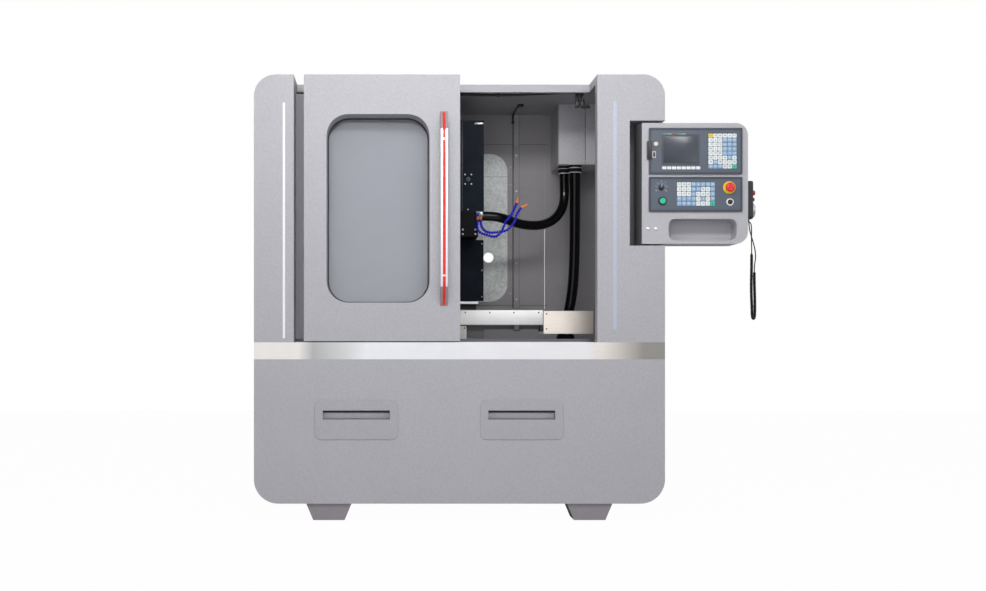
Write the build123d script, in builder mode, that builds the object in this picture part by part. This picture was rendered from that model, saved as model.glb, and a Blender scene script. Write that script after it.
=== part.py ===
"""Small vertical CNC milling machine in a sheet-steel cabinet, with a swivelling control pod.

Millimetres. +X is to the right of the operator, +Y runs from the front to the back of the
cabinet, +Z is up. The origin is on the floor, under the middle of the cabinet.
"""
import os
from math import pi, radians, tan

from build123d import *

os.makedirs("parts", exist_ok=True)

# Cabinet
cabinet_width = 1768
cabinet_top = 1918
cabinet_bottom = 72
top_corner_radius = 92
bottom_corner_radius = 105
sheet = 2.5
left_pillar_width = 171
right_pillar_width = 291
header_depth = 240
header_fold = 34
right_return_depth = 61
sill_height = 73
sill_top = 766
side_foot_width = 184

# Depths behind the cabinet's front, stacked up from the spindle to the back panel
spindle_depth = 590
head_front_reach = 85
head_back_reach = 110
column_gap = 35
column_thickness = 225
rear_clearance = 100

head_front_depth = spindle_depth - head_front_reach
head_back_depth = spindle_depth + head_back_reach
column_front_depth = head_back_depth + column_gap
column_back_depth = column_front_depth + column_thickness
cabinet_depth = column_back_depth + rear_clearance

side = cabinet_width / 2
front = -cabinet_depth / 2
back = cabinet_depth / 2
doorway_left = -side + left_pillar_width
doorway_right = side - right_pillar_width
sill_bottom = sill_top - sill_height
roof_under = cabinet_top - sheet

# Feet and base frame
foot_height = cabinet_bottom
foot_top_width = 196
foot_sole_width = 135
foot_depth = 140
foot_x = 562
foot_setback = 12
anchor_hole_radius = 9
tube = 60
frame_half_length = side - side_foot_width
frame_setback = 40
stand_half_width = 150
stand_front_depth = 360
stand_inset = 30
machine_base_bottom = 640

stand_back_depth = column_back_depth - stand_inset

# Sliding door and its rail
door_left = -669
door_width = 672
door_gap = 5
door_thickness = 128
door_guide_gap = 2
door_guide_height = 15
window_left = -572
window_width = 444
window_bottom = 937
window_height = 811
window_radius = 95
window_flange = 14
pane_depth = 120
pane_thickness = 5
inner_panel_depth = 140
inner_panel_top = 1859
inner_panel_right = -60
rail_front_depth = 244
rail_width = 32
rail_height = 30
rail_wall = 3
rail_slot = 14
shoe_clearance = 0.5
carriage_width = 60
carriage_inset = 70
handle_x = -67
handle_width = 32
handle_bottom = 921
handle_top = 1760
handle_reach = 52
handle_thickness = 11
handle_slope = 88

door_right = door_left + door_width
door_bottom = sill_top + door_gap
door_top = cabinet_top
guide_depth = door_thickness + door_guide_gap

# Lower front
plate_width = 358
plate_height = 170
plate_radius = 26
plate_thickness = 4
plate_z = 433
left_plate_x = -443.5
right_plate_x = 268
slot_width = 288
slot_height = 39
slot_z = 453.5
slot_depth = 30
slot_wall = 2

# Back wall
rear_window_width = 592
rear_window_bottom = 970
rear_window_height = 748
rear_window_radius = 90
rear_sheet = 1.5
rear_sheet_lap = 34
rear_sheet_seam = 1601
outlet_x = 200
outlet_z = 1193
outlet_radius = 25
stiffener_x = 340
stiffener_width = 28
stiffener_depth = 12
stiffener_bottom = 940
stiffener_top = 1755
back_seam_x = 483
back_seam_gap = 1.6
back_seam_bottom = 933
back_seam_top = 1336
rim_height = 40

# Machine base, slides and table
base_half_width = 150
base_front_depth = 346
base_ledge = 5
base_top = 772
dovetail_half_width = 90
dovetail_undercut = 10
dovetail_height = 18
dovetail_end_gap = 10
slide_clearance = 0.3
saddle_half_width = 130
saddle_front_depth = 386
saddle_back_depth = 525
table_half_length = 401
table_front_depth = 350
table_width = 200
table_bottom = 843
table_top = 913
table_slot_width = 14
table_slot_depth = 12
table_slot_head_width = 24
table_slot_head_depth = 9
table_slot_pitch = 50
screw_radius = 8
screw_fit = 0.05
screw_channel_half_width = 21
x_screw_z = 858
y_screw_z = 807
y_bearing_length = 16
x_cover_right = 627
x_cover_bottom = 805
x_cover_top = 908
x_cover_wall = 2
x_motor_size = 80
y_motor_half_width = 46
y_motor_top = 839
y_motor_front_depth = 285

base_back_depth = column_back_depth + base_ledge
y_bearing_depth = head_back_depth
dovetail_end_depth = y_bearing_depth - dovetail_end_gap
table_depth_centre = table_front_depth + table_width / 2

# Column and head
column_half_width = 118
column_top = 1720
way_x = 85
way_width = 20
way_thickness = 15
way_bottom = 1265
column_cover_half_width = 152
column_cover_bottom = 964
column_cover_top = 1258
column_cover_gap = 15
strip_half_width = 126
strip_bottom = 947
strip_top = 961
z_screw_setback = 27
z_screw_radius = 10
channel_half_width = 32
channel_bottom = 1262
channel_depth = 50
z_motor_size = 110
z_motor_height = 108
head_half_width = 112
head_bottom = 1258
head_top = 1374
head_cover_half_width = 139
head_cover_top = 1799
head_cover_front_gap = 5
head_cover_lap = 4
spindle_radius = 34
nose_radius = 24
nose_length = 98
collet_bore_radius = 8
collet_bore_length = 40
saddle_plate_bottom = 1480
saddle_plate_top = 1690
saddle_plate_half_width = 105
motor_shelf_thickness = 12
spindle_motor_radius = 56
spindle_motor_height = 185

z_screw_depth = column_front_depth + z_screw_setback
channel_back_depth = column_front_depth + channel_depth
head_cover_front_depth = head_front_depth - head_cover_front_gap
head_cover_back_depth = head_back_depth + head_cover_lap

# Coolant valves and beaded hoses
valve_block_left = 104
valve_block_right = 134
valve_block_height = 24
valve_block_depth = 18
valve_block_bottom = head_top - valve_block_height
valve_a_x = 110
valve_b_x = 124
valve_radius = 6
valve_body_height = 17
tap_radius = 3
bead_radius = 6.3
bead_length = 7
bead_pitch = 10
bead_neck_radius = 4

# Junction box, conduits and cables
box_left = 516
box_right = 780
box_bottom = 1624
box_front_depth = 740
gland_length = 38
tank_left = -720
tank_right = -60
tank_front_depth = 60
tank_back_depth = 340
tank_bottom = cabinet_bottom + tube
tank_top = 440
upper_conduit_diameter = 45
lower_conduit_diameter = 51
gland_wall = 6
boot_radius = 52
boot_height = 44
cable_diameter = 11

# Control pod
pod_left = 783
pod_right = 1239
pod_bottom = 1189
pod_top = 1708
pod_proud = 8
pod_depth = 154
pod_side_bulge = 17
pod_corner_radius = 53
pod_wall = 2.5
pivot_x = 832
pivot_pin_radius = 8
pivot_pin_length = 24
pivot_collar_radius = 15
pivot_fit = 0.05
notch_left = 732
notch_bottom = 1182
notch_top = 1720
notch_depth = 200
pocket_left = 898
pocket_right = 1190
pocket_bottom = 1205
pocket_top = 1296
pocket_radius = 28
pocket_depth = 90
unit_left = 812
unit_right = 1213
display_bottom = 1487
display_top = 1686
operator_bottom = 1326
operator_top = 1476
unit_proud = 8
unit_border = 9
unit_recess = 2
unit_back_depth = 60
key_height = 2

pod_front = front - pod_proud
pod_back = pod_front + pod_depth
pivot_y = pod_front + pod_depth / 2

# Hand pendant on the right side of the pod
pendant_thickness = 32
pendant_front_depth = 30
pendant_width = 82
pendant_bottom = 1300
pendant_top = 1465
pendant_radius = 12
pendant_cord_diameter = 6
coil_diameter = 14


def facing(depth):
    """Plane parallel to the cabinet's front, at a depth behind it: X and Z as seen by the operator."""
    return Plane((0, front + depth, 0), x_dir=(1, 0, 0), z_dir=(0, -1, 0))


def block(x_range, depth_range, z_range, mode=Mode.ADD):
    """Rectangular stretch of the current part, by X, depth behind the cabinet's front, and Z."""
    size = [high - low for low, high in (x_range, depth_range, z_range)]
    middle = [(low + high) / 2 for low, high in (x_range, depth_range, z_range)]
    with Locations((middle[0], front + middle[1], middle[2])):
        Box(*size, mode=mode)


def panel(x_range, z_range, radius=0, mode=Mode.ADD):
    """Rectangle in a front-facing sketch, with rounded corners if a radius is given."""
    width, height = x_range[1] - x_range[0], z_range[1] - z_range[0]
    with Locations(((x_range[0] + x_range[1]) / 2, (z_range[0] + z_range[1]) / 2)):
        if radius:
            RectangleRounded(width, height, radius, mode=mode)
        else:
            Rectangle(width, height, mode=mode)


def cabinet_outline(inset):
    """Front outline of the cabinet, drawn in by an inset, as a sketch to add to a piece."""
    with BuildSketch(mode=Mode.PRIVATE) as outline:
        with Locations((0, (cabinet_top + cabinet_bottom) / 2)):
            Rectangle(cabinet_width - 2 * inset, cabinet_top - cabinet_bottom - 2 * inset)
        fillet(outline.vertices().group_by(Axis.Y)[-1], top_corner_radius - inset)
        fillet(outline.vertices().group_by(Axis.Y)[0], bottom_corner_radius - inset)
    return outline.sketch


def tube_path(points):
    """Straight runs joined by the largest tangent arcs that each pair of runs allows."""
    corners = [Vector(*point) for point in points]
    radii = []
    for before, corner, after in zip(corners, corners[1:], corners[2:]):
        arriving, leaving = corner - before, after - corner
        half_turn = radians(arriving.get_angle(leaving)) / 2
        radii.append(0.45 * min(arriving.length, leaving.length) / tan(half_turn))
    return FilletPolyline(*corners, radius=radii), radii


def report_cord(name, line, radii, diameter, solid):
    """Print a cord's length, its tightest arc in diameters, and how its volume compares."""
    expected = line.length * pi * diameter ** 2 / 4
    print(f"{name}: length {line.length:.0f}, tightest arc {min(radii) / diameter:.2f} diameters, "
          f"volume {solid.volume / expected:.4f} of section times length")


outer_outline = cabinet_outline(0)
inner_outline = cabinet_outline(sheet)
middle_z = (cabinet_top + cabinet_bottom) / 2
beyond = 5

# Feet: folded steel blocks under the frame, each with a hole for a levelling bolt or an anchor.
foot_y = back - foot_setback - foot_depth / 2
with BuildPart() as feet:
    for y in (-foot_y, foot_y):
        for x in (-foot_x, foot_x):
            with BuildSketch(Plane.XZ.offset(-y - foot_depth / 2)):
                with BuildLine():
                    Polyline(
                        (x - foot_sole_width / 2, 0), (x + foot_sole_width / 2, 0),
                        (x + foot_top_width / 2, foot_height), (x - foot_top_width / 2, foot_height),
                        close=True,
                    )
                make_face()
            extrude(amount=foot_depth)
            with Locations((x, y, foot_height / 2)):
                Hole(anchor_hole_radius, depth=foot_height)
feet.part.label = "feet"
export_step(feet.part, "parts/feet.step")

# Base frame: welded square tube, with a stand in the middle for the machine.
frame_front = frame_setback
frame_back = cabinet_depth - frame_setback
with BuildPart() as base_frame:
    for depth in (frame_front, frame_back - tube):
        block((-frame_half_length, frame_half_length), (depth, depth + tube),
              (cabinet_bottom, cabinet_bottom + tube))
    for x in (-foot_x, -stand_half_width, stand_half_width, foot_x):
        block((x - tube / 2, x + tube / 2), (frame_front, frame_back),
              (cabinet_bottom, cabinet_bottom + tube))
    for x in (-stand_half_width, stand_half_width):
        for depth in (stand_front_depth, stand_back_depth - tube):
            block((x - tube / 2, x + tube / 2), (depth, depth + tube),
                  (cabinet_bottom, machine_base_bottom))
        block((x - tube / 2, x + tube / 2), (stand_front_depth, stand_back_depth),
              (machine_base_bottom - tube, machine_base_bottom))
    for depth in (stand_front_depth, stand_back_depth - tube):
        block((-stand_half_width, stand_half_width), (depth, depth + tube),
              (machine_base_bottom - tube, machine_base_bottom))
base_frame.part.label = "base_frame"
export_step(base_frame.part, "parts/base_frame.step")

# Side panels: one sheet each, rolled round the top and bottom corners.
with BuildPart() as left_side_panel:
    with BuildSketch(facing(sheet)):
        add(outer_outline)
        add(inner_outline, mode=Mode.SUBTRACT)
        panel((doorway_left, side + beyond), (middle_z, cabinet_top + beyond), mode=Mode.SUBTRACT)
        panel((-frame_half_length, side + beyond), (cabinet_bottom - beyond, middle_z), mode=Mode.SUBTRACT)
    extrude(amount=-(cabinet_depth - 2 * sheet))
left_side_panel.part.label = "left_side_panel"
export_step(left_side_panel.part, "parts/left_side_panel.step")

with BuildPart() as right_side_panel:
    with BuildSketch(facing(sheet)):
        add(outer_outline)
        add(inner_outline, mode=Mode.SUBTRACT)
        panel((-side - beyond, doorway_right), (middle_z, cabinet_top + beyond), mode=Mode.SUBTRACT)
        panel((-side - beyond, frame_half_length), (cabinet_bottom - beyond, middle_z), mode=Mode.SUBTRACT)
    extrude(amount=-(cabinet_depth - 2 * sheet))
    block((side - 2 * sheet, side + beyond), (0, notch_depth), (notch_bottom, notch_top), mode=Mode.SUBTRACT)
right_side_panel.part.label = "right_side_panel"
export_step(right_side_panel.part, "parts/right_side_panel.step")

# Left pillar: front, return and the inner panel behind the door, folded from one sheet.
with BuildPart() as left_pillar:
    with BuildSketch(facing(0)):
        add(outer_outline)
        panel((-side - beyond, doorway_left), (sill_top, cabinet_top + beyond), mode=Mode.INTERSECT)
    extrude(amount=-sheet)
    block((doorway_left - sheet, doorway_left), (0, inner_panel_depth + sheet), (sill_top, inner_panel_top))
    block((doorway_left - sheet, inner_panel_right), (inner_panel_depth, inner_panel_depth + sheet),
          (sill_top, inner_panel_top))
    block((doorway_left - sheet, doorway_left), (0, header_depth), (inner_panel_top, roof_under))
left_pillar.part.label = "left_pillar"
export_step(left_pillar.part, "parts/left_pillar.step")

# Right pillar: front with the notch for the pod, a narrow return, and a strip along the top of the
# return that reaches back to the roof's front fold.
with BuildPart() as right_pillar:
    with BuildSketch(facing(0)):
        add(outer_outline)
        panel((doorway_right, side + beyond), (sill_top, cabinet_top + beyond), mode=Mode.INTERSECT)
        panel((notch_left, side + beyond), (notch_bottom, notch_top), mode=Mode.SUBTRACT)
    extrude(amount=-sheet)
    block((doorway_right, doorway_right + sheet), (0, right_return_depth), (sill_top, roof_under))
    block((doorway_right, doorway_right + sheet), (0, header_depth), (cabinet_top - header_fold, roof_under))
right_pillar.part.label = "right_pillar"
export_step(right_pillar.part, "parts/right_pillar.step")

# Recess behind the notch: a folded liner whose ledges carry the pod's two pivot pins.
with BuildPart() as pod_recess:
    block((notch_left - sheet, side - sheet), (sheet, notch_depth + sheet),
          (notch_bottom - sheet, notch_top + sheet))
    block((notch_left, side), (0, notch_depth), (notch_bottom, notch_top), mode=Mode.SUBTRACT)
    with Locations((pivot_x, pivot_y, notch_bottom)):
        Cylinder(pivot_pin_radius, pod_bottom + pivot_pin_length - notch_bottom,
                 align=(Align.CENTER, Align.CENTER, Align.MIN))
        Cylinder(pivot_collar_radius, pod_bottom - slide_clearance - notch_bottom,
                 align=(Align.CENTER, Align.CENTER, Align.MIN))
    with Locations((pivot_x, pivot_y, notch_top)):
        Cylinder(pivot_pin_radius, notch_top - pod_top + pivot_pin_length,
                 align=(Align.CENTER, Align.CENTER, Align.MAX))
        Cylinder(pivot_collar_radius, notch_top - pod_top - slide_clearance,
                 align=(Align.CENTER, Align.CENTER, Align.MAX))
pod_recess.part.label = "pod_recess"
export_step(pod_recess.part, "parts/pod_recess.step")

# Lower front panel with two cut-outs for the finger slots.
cutout_gap = 0.5
with BuildPart() as lower_front_panel:
    with BuildSketch(facing(0)):
        add(outer_outline)
        panel((-side - beyond, side + beyond), (cabinet_bottom - beyond, sill_bottom), mode=Mode.INTERSECT)
        with Locations((left_plate_x, slot_z), (right_plate_x, slot_z)):
            Rectangle(slot_width + 2 * (slot_wall + cutout_gap), slot_height + 2 * (slot_wall + cutout_gap),
                      mode=Mode.SUBTRACT)
    extrude(amount=-sheet)
    block((-side + sheet, side - sheet), (sheet, sheet + 18), (sill_bottom - sheet, sill_bottom))
lower_front_panel.part.label = "lower_front_panel"
export_step(lower_front_panel.part, "parts/lower_front_panel.step")

# Pull plates: raised pressings, each with a finger slot in front of a shallow box.
with BuildPart() as pull_plates:
    for x in (left_plate_x, right_plate_x):
        with BuildSketch(facing(-plate_thickness)):
            with Locations((x, plate_z)):
                RectangleRounded(plate_width, plate_height, plate_radius)
        extrude(amount=-plate_thickness)
        block((x - slot_width / 2 - slot_wall, x + slot_width / 2 + slot_wall), (0, slot_depth + slot_wall),
              (slot_z - slot_height / 2 - slot_wall, slot_z + slot_height / 2 + slot_wall))
        block((x - slot_width / 2, x + slot_width / 2), (-plate_thickness, slot_depth),
              (slot_z - slot_height / 2, slot_z + slot_height / 2), mode=Mode.SUBTRACT)
    front_edges = pull_plates.edges().filter_by(GeomType.CIRCLE).group_by(Axis.Y)[0]
    fillet(front_edges, 1.5)
pull_plates.part.label = "pull_plates"
export_step(pull_plates.part, "parts/pull_plates.step")

# Sill strip: stainless, folded back as a shelf, with an upstand that guides the door's lower edge.
with BuildPart() as sill_strip:
    block((-side, side), (0, sheet), (sill_bottom, sill_top))
    block((-side + sheet, side - sheet), (sheet, guide_depth + sheet), (sill_top - sheet, sill_top))
    block((doorway_left, doorway_right), (guide_depth, guide_depth + sheet),
          (sill_top, sill_top + door_guide_height))
sill_strip.part.label = "sill_strip"
export_step(sill_strip.part, "parts/sill_strip.step")

# Roof panel, set back from the front, with its edge folded down.
with BuildPart() as roof_panel:
    block((doorway_left, doorway_right), (header_depth, cabinet_depth - sheet), (roof_under, cabinet_top))
    block((doorway_left, doorway_right), (header_depth, header_depth + sheet),
          (cabinet_top - header_fold, roof_under))
roof_panel.part.label = "roof_panel"
export_step(roof_panel.part, "parts/roof_panel.step")

# Back panel: round-cornered window, two stiffener bars and the open seam between its sheets.
window_z = rear_window_bottom + rear_window_height / 2
with BuildPart() as back_panel:
    with BuildSketch(facing(cabinet_depth - sheet)):
        add(outer_outline)
        with Locations((0, window_z)):
            RectangleRounded(rear_window_width, rear_window_height, rear_window_radius, mode=Mode.SUBTRACT)
        panel((back_seam_x, back_seam_x + back_seam_gap), (back_seam_bottom, back_seam_top), mode=Mode.SUBTRACT)
    extrude(amount=-sheet)
    for x in (-stiffener_x, stiffener_x):
        block((x - stiffener_width / 2, x + stiffener_width / 2),
              (cabinet_depth - sheet - stiffener_depth, cabinet_depth - sheet),
              (stiffener_bottom, stiffener_top))
back_panel.part.label = "back_panel"
export_step(back_panel.part, "parts/back_panel.step")

# Rear window sheets: two galvanised sheets behind the window, the lower one with an outlet hole.
lap_half_width = rear_window_width / 2 + rear_sheet_lap
with BuildPart() as rear_window_sheets:
    with BuildSketch(facing(cabinet_depth)):
        panel((-lap_half_width, lap_half_width), (rear_window_bottom - rear_sheet_lap, rear_sheet_seam))
        with Locations((outlet_x, outlet_z)):
            Circle(outlet_radius, mode=Mode.SUBTRACT)
        panel((-lap_half_width, lap_half_width),
              (rear_sheet_seam + cutout_gap, rear_window_bottom + rear_window_height + rear_sheet_lap))
    extrude(amount=-rear_sheet)
rear_window_sheets.part.label = "rear_window_sheets"
export_step(rear_window_sheets.part, "parts/rear_window_sheets.step")

# Conduit places, which the floor pan and the junction box share.
upper_conduit_x = 552
upper_conduit_depth = 815
lower_conduit_x = 600
lower_conduit_depth = 775
boot_x = 557
boot_depth = 800
spigot_radius = 30

# Work-area floor: a pan round the machine base, with a folded rim along the back.
floor_front = guide_depth + sheet
floor_back = cabinet_depth - sheet
base_gap = 3
rim_half_width = 480
rim_depth = 25
with BuildPart() as floor_pan:
    block((-side + sheet, side - sheet), (floor_front, floor_back), (sill_top - sheet, sill_top))
    block((-base_half_width - base_gap, base_half_width + base_gap),
          (base_front_depth - base_gap, base_back_depth + base_gap), (sill_top - beyond, sill_top + beyond),
          mode=Mode.SUBTRACT)
    with Locations((boot_x, front + boot_depth, sill_top)):
        Hole(spigot_radius, depth=2 * sheet)
    block((-rim_half_width, rim_half_width), (floor_back - rim_depth, floor_back - rim_depth + sheet),
          (sill_top, sill_top + rim_height))
    block((-rim_half_width, rim_half_width), (floor_back - rim_depth, floor_back),
          (sill_top + rim_height - sheet, sill_top + rim_height))
floor_pan.part.label = "floor_pan"
export_step(floor_pan.part, "parts/floor_pan.step")

# Door rail: a C track under the roof, behind its front fold.
rail_end_gap = 8
rail_left = doorway_left + rail_end_gap
rail_length = doorway_right - rail_end_gap - rail_left
rail_middle = front + rail_front_depth + rail_width / 2
rail_bottom = roof_under - rail_height
with BuildPart() as door_rail:
    with BuildSketch(Plane.YZ.offset(rail_left)):
        with Locations((rail_middle, roof_under - rail_height / 2)):
            Rectangle(rail_width, rail_height)
            Rectangle(rail_width - 2 * rail_wall, rail_height - 2 * rail_wall, mode=Mode.SUBTRACT)
        with Locations((rail_middle, rail_bottom)):
            Rectangle(rail_slot, 2 * rail_wall, mode=Mode.SUBTRACT)
    extrude(amount=rail_length)
door_rail.part.label = "door_rail"
export_step(door_rail.part, "parts/door_rail.step")

# Sliding door shell: front sheet with edge returns and a tunnel round the window.
door_x = (door_left, door_right)
door_z = (door_bottom, door_top)
window_x = (window_left, window_left + window_width)
window_z_range = (window_bottom, window_bottom + window_height)


def grown(extent, amount):
    """Range made longer by an amount at both ends."""
    return extent[0] - amount, extent[1] + amount


with BuildPart() as door_shell:
    with BuildSketch(facing(0)):
        panel(door_x, door_z)
        panel(window_x, window_z_range, window_radius, mode=Mode.SUBTRACT)
    extrude(amount=-sheet)
    with BuildSketch(facing(sheet)):
        panel(door_x, door_z)
        panel(grown(door_x, -sheet), grown(door_z, -sheet), mode=Mode.SUBTRACT)
    extrude(amount=-(door_thickness - sheet))
    with BuildSketch(facing(sheet)):
        panel(grown(window_x, sheet), grown(window_z_range, sheet), window_radius + sheet)
        panel(window_x, window_z_range, window_radius, mode=Mode.SUBTRACT)
    extrude(amount=-(pane_depth - sheet))
    with BuildSketch(facing(pane_depth - sheet)):
        panel(grown(window_x, window_flange), grown(window_z_range, window_flange),
              window_radius + window_flange)
        panel(window_x, window_z_range, window_radius, mode=Mode.SUBTRACT)
    extrude(amount=-sheet)
door_shell.part.label = "door_shell"
export_step(door_shell.part, "parts/door_shell.step")

with BuildPart() as door_pane:
    with BuildSketch(facing(pane_depth)):
        panel(grown(window_x, window_flange), grown(window_z_range, window_flange),
              window_radius + window_flange)
    extrude(amount=-pane_thickness)
door_pane.part.label = "door_pane"
export_step(door_pane.part, "parts/door_pane.step")

# Door carriages: nylon shoes in the rail, each on a bracket that reaches over the inner panel.
arm_bottom = inner_panel_top + 5
arm_thickness = 10
hanger_depth = 90
hanger_thickness = 6
hanger_foot = 36
shoe_width = rail_width - 2 * rail_wall - 2 * shoe_clearance
shoe_height = rail_height - 2 * rail_wall - 2 * shoe_clearance
neck_width = rail_slot - 2
with BuildPart() as door_carriages:
    for x in (door_left + carriage_inset, door_right - carriage_inset):
        with BuildSketch(Plane.YZ.offset(x - carriage_width / 2)):
            with Locations((rail_middle, roof_under - rail_height / 2)):
                Rectangle(shoe_width, shoe_height)
            with Locations((rail_middle, arm_bottom)):
                Rectangle(neck_width, roof_under - rail_height / 2 - arm_bottom, align=(Align.CENTER, Align.MIN))
            with Locations((front + hanger_depth, arm_bottom)):
                Rectangle(rail_middle + neck_width / 2 - front - hanger_depth, arm_thickness,
                          align=(Align.MIN, Align.MIN))
                Rectangle(hanger_thickness, roof_under - arm_bottom, align=(Align.MIN, Align.MIN))
            with Locations((front + hanger_depth, roof_under)):
                Rectangle(hanger_foot, hanger_thickness, align=(Align.MIN, Align.MAX))
        extrude(amount=carriage_width)
door_carriages.part.label = "door_carriages"
export_step(door_carriages.part, "parts/door_carriages.step")

# Door handle: a bow bar, bent back to the door at both ends.
with BuildPart() as door_handle:
    with BuildSketch(Plane.YZ.offset(handle_x - handle_width / 2)):
        with BuildLine():
            Polyline(
                (front, handle_bottom), (front - handle_reach, handle_bottom + handle_slope),
                (front - handle_reach, handle_top - handle_slope), (front, handle_top),
                (front, handle_top - 1.4 * handle_thickness),
                (front - handle_reach + handle_thickness, handle_top - handle_slope - handle_thickness),
                (front - handle_reach + handle_thickness, handle_bottom + handle_slope + handle_thickness),
                (front, handle_bottom + 1.4 * handle_thickness), close=True,
            )
        make_face()
    extrude(amount=handle_width)
    bends = door_handle.edges().filter_by(Axis.X).group_by(Axis.Y)
    fillet(bends[0], 60)
    fillet(bends[1], 50)
    rims = door_handle.faces().sort_by(Axis.X)
    fillet(rims[0].edges().filter_by(lambda edge: edge.length > 3 * handle_thickness)
           + rims[-1].edges().filter_by(lambda edge: edge.length > 3 * handle_thickness), 3)
door_handle.part.label = "door_handle"
export_step(door_handle.part, "parts/door_handle.step")


def dovetail(middle, neck_z, wide_z, neck_half_width, wide_half_width):
    """Trapezoid in the current sketch, from a narrow neck to a wide end, about a middle line."""
    with BuildLine() as outline:
        Polyline((middle - neck_half_width, neck_z), (middle + neck_half_width, neck_z),
                 (middle + wide_half_width, wide_z), (middle - wide_half_width, wide_z), close=True)
    make_face(outline.edges())


# Machine base: a casting with the Y dovetail on top and the rear bearing of the Y screw.
neck_half_width = dovetail_half_width - dovetail_undercut
bore = screw_radius + screw_fit
bearing_half_width = 20
with BuildPart() as machine_base:
    block((-base_half_width, base_half_width), (base_front_depth, base_back_depth),
          (machine_base_bottom, base_top))
    with BuildSketch(facing(base_front_depth)):
        dovetail(0, base_top, base_top + dovetail_height, neck_half_width, dovetail_half_width)
    extrude(amount=-(dovetail_end_depth - base_front_depth))
    block((-bearing_half_width, bearing_half_width), (y_bearing_depth, y_bearing_depth + y_bearing_length),
          (base_top, y_screw_z + 23))
    with BuildSketch(facing(y_bearing_depth)):
        with Locations((0, y_screw_z)):
            Circle(bore)
    extrude(amount=-y_bearing_length, mode=Mode.SUBTRACT)
machine_base.part.label = "machine_base"
export_step(machine_base.part, "parts/machine_base.step")

# Column: ribbed from behind, a channel for the Z screw in front, and two linear ways.
rib_thickness = 20
pocket_rows = 4
pockets_bottom = 850
pockets_top = 1640
channel_wall = 25
pocket_front_depth = channel_back_depth + channel_wall
pocket_half_width = 90
pocket_height = (pockets_top - pockets_bottom - (pocket_rows - 1) * rib_thickness) / pocket_rows
z_bearing_length = 20
with BuildPart() as column:
    block((-column_half_width, column_half_width), (column_front_depth, column_back_depth),
          (base_top, column_top))
    for row in range(pocket_rows):
        low = pockets_bottom + row * (pocket_height + rib_thickness)
        block((-pocket_half_width, pocket_half_width), (pocket_front_depth, column_back_depth),
              (low, low + pocket_height), mode=Mode.SUBTRACT)
    block((-channel_half_width, channel_half_width), (column_front_depth, channel_back_depth),
          (channel_bottom, column_top), mode=Mode.SUBTRACT)
    with Locations((0, front + z_screw_depth, channel_bottom)):
        Hole(z_screw_radius + screw_fit, depth=z_bearing_length)
    for x in (-way_x, way_x):
        block((x - way_width / 2, x + way_width / 2), (column_front_depth - way_thickness, column_front_depth),
              (way_bottom, column_top - beyond))
column.part.label = "column"
export_step(column.part, "parts/column.step")

# Column cover: a folded sheet over the lower half of the column.
cover_front_depth = column_front_depth - column_cover_gap - 4
with BuildPart() as column_cover:
    block((-column_cover_half_width, column_cover_half_width), (cover_front_depth, column_front_depth),
          (column_cover_bottom, column_cover_top))
    block((-column_cover_half_width + sheet, column_cover_half_width - sheet),
          (cover_front_depth + sheet, column_front_depth),
          (column_cover_bottom + sheet, column_cover_top - sheet), mode=Mode.SUBTRACT)
column_cover.part.label = "column_cover"
export_step(column_cover.part, "parts/column_cover.step")

# Drip strip: a bright bar under the column cover.
with BuildPart() as drip_strip:
    block((-strip_half_width, strip_half_width), (head_back_depth, column_front_depth),
          (strip_bottom, strip_top))
    fillet(drip_strip.edges().filter_by(Axis.X).group_by(Axis.Y)[0], 3)
drip_strip.part.label = "drip_strip"
export_step(drip_strip.part, "parts/drip_strip.step")

# Saddle: slides on the base along Y, carries the table along X, and holds both screw nuts.
flank = dovetail_undercut / dovetail_height
side_gap = 0.35
table_tenon_wide = 52
table_tenon_neck = table_tenon_wide - dovetail_undercut
tenon_bottom = table_bottom - dovetail_height
table_middle = front + table_depth_centre
nut_half_length = 30
nut_half_width = 18
saddle_bottom = base_top + slide_clearance
saddle_top = table_bottom - slide_clearance
with BuildPart() as saddle:
    block((-saddle_half_width, saddle_half_width), (saddle_front_depth, saddle_back_depth),
          (saddle_bottom, saddle_top))
    with BuildSketch(facing(saddle_front_depth)):
        dovetail(0, base_top, base_top + dovetail_height + side_gap, neck_half_width + side_gap,
                 dovetail_half_width + side_gap * (1 + flank))
    extrude(amount=-(saddle_back_depth - saddle_front_depth), mode=Mode.SUBTRACT)
    with BuildSketch(Plane.YZ.offset(-saddle_half_width)):
        dovetail(table_middle, table_bottom, tenon_bottom - side_gap, table_tenon_neck + side_gap,
                 table_tenon_wide + side_gap * (1 + flank))
    extrude(amount=2 * saddle_half_width, mode=Mode.SUBTRACT)
    block((-nut_half_length, nut_half_length),
          (table_depth_centre - nut_half_width, table_depth_centre + nut_half_width),
          (tenon_bottom - side_gap, x_screw_z + nut_half_width))
    with BuildSketch(Plane.YZ.offset(-nut_half_length)):
        with Locations((table_middle, x_screw_z)):
            Circle(bore)
    extrude(amount=2 * nut_half_length, mode=Mode.SUBTRACT)
    with BuildSketch(facing(saddle_front_depth)):
        with Locations((0, y_screw_z)):
            Circle(bore)
    extrude(amount=-(saddle_back_depth - saddle_front_depth), mode=Mode.SUBTRACT)
saddle.part.label = "saddle"
export_step(saddle.part, "parts/saddle.step")

# Y motor in front of the base, and the Y screw that it turns.
y_motor_foot = 6
motor_bore_depth = 22
with BuildPart() as y_motor:
    block((-y_motor_half_width, y_motor_half_width), (y_motor_front_depth, base_front_depth - 2),
          (sill_top, y_motor_top))
    block((-y_motor_half_width, y_motor_half_width), (base_front_depth - 2, base_front_depth),
          (sill_top, sill_top + y_motor_foot))
    with BuildSketch(facing(base_front_depth - 2)):
        with Locations((0, y_screw_z)):
            Circle(bore)
    extrude(amount=motor_bore_depth, mode=Mode.SUBTRACT)
y_motor.part.label = "y_motor"
export_step(y_motor.part, "parts/y_motor.step")

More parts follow.
